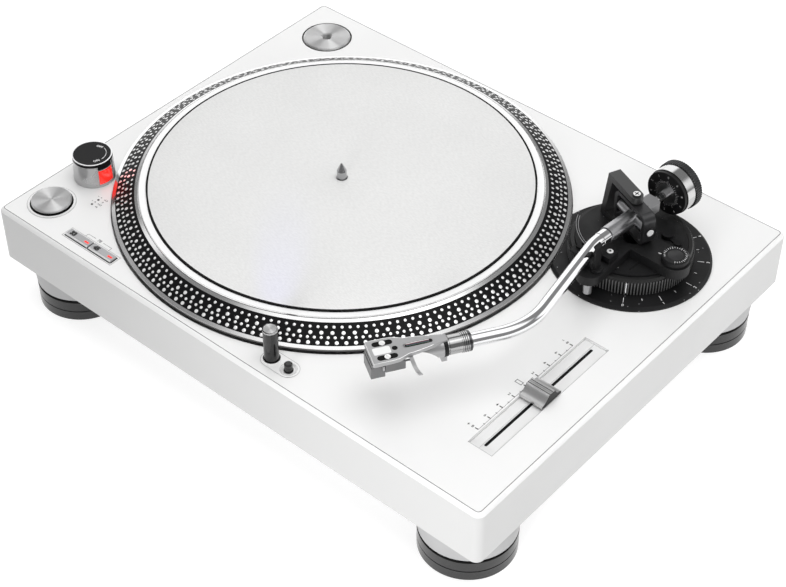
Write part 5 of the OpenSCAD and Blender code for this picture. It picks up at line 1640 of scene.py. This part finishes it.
class TURNTABLE_OT_stage(bpy.types.Operator):
    """Sets the floor, the lights and the camera"""

    bl_idname = "turntable.stage"
    bl_label = "Stage"

    def execute(self, context):
        scene = context.scene
        size = 6.0
        mesh = bpy.data.meshes.new("floor")
        mesh.from_pydata(
            [(-size, -size, 0), (size, -size, 0), (size, size, 0), (-size, size, 0)], [], [(0, 1, 2, 3)]
        )
        floor = bpy.data.objects.new("floor", mesh)
        scene.collection.objects.link(floor)
        paper = moulded(
            "floor_paper", (0.35, 0.35, 0.35), shade=0.995, mottle=2.0, grain=900.0, rough=0.8, bump=0
        )
        shader = paper.node_tree.nodes["Principled BSDF"]
        shader.inputs["Specular IOR Level"].default_value = 0.1
        shader.inputs["Emission Color"].default_value = (1, 1, 1, 1)
        shader.inputs["Emission Strength"].default_value = 0.8
        mesh.materials.append(paper)
        world = bpy.data.worlds.new("studio")
        scene.world = world
        world.use_nodes = True
        tree = world.node_tree
        way = tree.nodes.new("ShaderNodeTexCoord").outputs["Generated"]
        level = None
        for bright, azimuth, elevation, inner, outer in STUDIO_WINDOWS:
            a, e = math.radians(azimuth), math.radians(elevation)
            towards = (math.sin(a) * math.cos(e), math.cos(a) * math.cos(e), math.sin(e))
            near = node(
                tree, "ShaderNodeVectorMath", {0: way}, {1: towards}, operation="DOT_PRODUCT"
            ).outputs["Value"]
            window = rise(tree, near, math.cos(math.radians(outer)), math.cos(math.radians(inner)))
            level = maths(tree, "MULTIPLY_ADD", window, bright, WALL_TONE if level is None else level)
        grey = node(tree, "ShaderNodeCombineColor", {0: level, 1: level, 2: level})
        tree.links.new(grey.outputs[0], tree.nodes["Background"].inputs["Color"])
        for name, colour, at, to, wide, cone, power in STUDIO_LIGHTS:
            data = bpy.data.lights.new(name, "SPOT" if cone else "AREA")
            data.color = colour
            data.energy = power
            if cone:
                data.shadow_soft_size = wide
                data.spot_size = math.radians(cone)
                data.spot_blend = 1.0
            else:
                data.shape = "SQUARE"
                data.size = wide
            lamp = bpy.data.objects.new(name, data)
            lamp.location = at
            lamp.rotation_euler = (Vector(to) - Vector(at)).to_track_quat("-Z", "Y").to_euler()
            lamp.visible_glossy = False
            lamp.visible_camera = False
            scene.collection.objects.link(lamp)
        data = bpy.data.cameras.new("camera")
        data.lens = 82.07
        data.sensor_width = 36.0
        data.clip_start, data.clip_end = 0.05, 20.0
        camera = bpy.data.objects.new("camera", data)
        camera.location = (0.64612, -0.74462, 0.92261)
        a, e = math.radians(40.79), math.radians(42.70)
        back = Vector((math.sin(a) * math.cos(e), -math.cos(a) * math.cos(e), math.sin(e)))
        camera.rotation_euler = (-back).to_track_quat("-Z", "Y").to_euler()
        scene.collection.objects.link(camera)
        scene.camera = camera
        scene.view_settings.view_transform = "Standard"
        return {"FINISHED"}


class TURNTABLE_PT_panel(bpy.types.Panel):
    """Lists the settings and the steps"""

    bl_label = "Turntable"
    bl_idname = "TURNTABLE_PT_panel"
    bl_space_type = "VIEW_3D"
    bl_region_type = "UI"
    bl_category = "Turntable"

    def draw(self, context):
        layout = self.layout
        for group_name in SETTINGS:
            settings = getattr(context.scene, group_name)
            for prop in settings.__annotations__:
                layout.prop(settings, prop)
        for step in STEPS:
            layout.operator(step.bl_idname)


STEPS = (
    TURNTABLE_OT_stage,
    TURNTABLE_OT_finishes,
    TURNTABLE_OT_plinth_edges,
    TURNTABLE_OT_slipmat,
    TURNTABLE_OT_strobe_dots,
    TURNTABLE_OT_deck_marks,
    TURNTABLE_OT_left_controls,
    TURNTABLE_OT_front_controls,
    TURNTABLE_OT_arm_base_marks,
    TURNTABLE_OT_tonearm,
    TURNTABLE_OT_headshell,
)
SETTINGS = {
    "turntable_finish": FinishSettings,
    "turntable_strobe": StrobeSettings,
    "turntable_marks": MarkSettings,
}


def register():
    """Registers the settings, the steps and the panel."""
    for cls in (*SETTINGS.values(), *STEPS, TURNTABLE_PT_panel):
        bpy.utils.register_class(cls)
    for name, cls in SETTINGS.items():
        setattr(bpy.types.Scene, name, PointerProperty(type=cls))


def unregister():
    """Takes them away again."""
    for name in SETTINGS:
        delattr(bpy.types.Scene, name)
    for cls in reversed((*SETTINGS.values(), *STEPS, TURNTABLE_PT_panel)):
        bpy.utils.unregister_class(cls)


def main():
    """Builds the whole scene."""
    register()
    bpy.ops.turntable.finishes()
    bpy.ops.turntable.plinth_edges()
    bpy.ops.turntable.slipmat()
    bpy.ops.turntable.strobe_dots()
    bpy.ops.turntable.deck_marks()
    bpy.ops.turntable.left_controls()
    bpy.ops.turntable.front_controls()
    bpy.ops.turntable.arm_base_marks()
    bpy.ops.turntable.tonearm()
    bpy.ops.turntable.headshell()
    bpy.ops.turntable.stage()


if __name__ == "__main__":
    main()
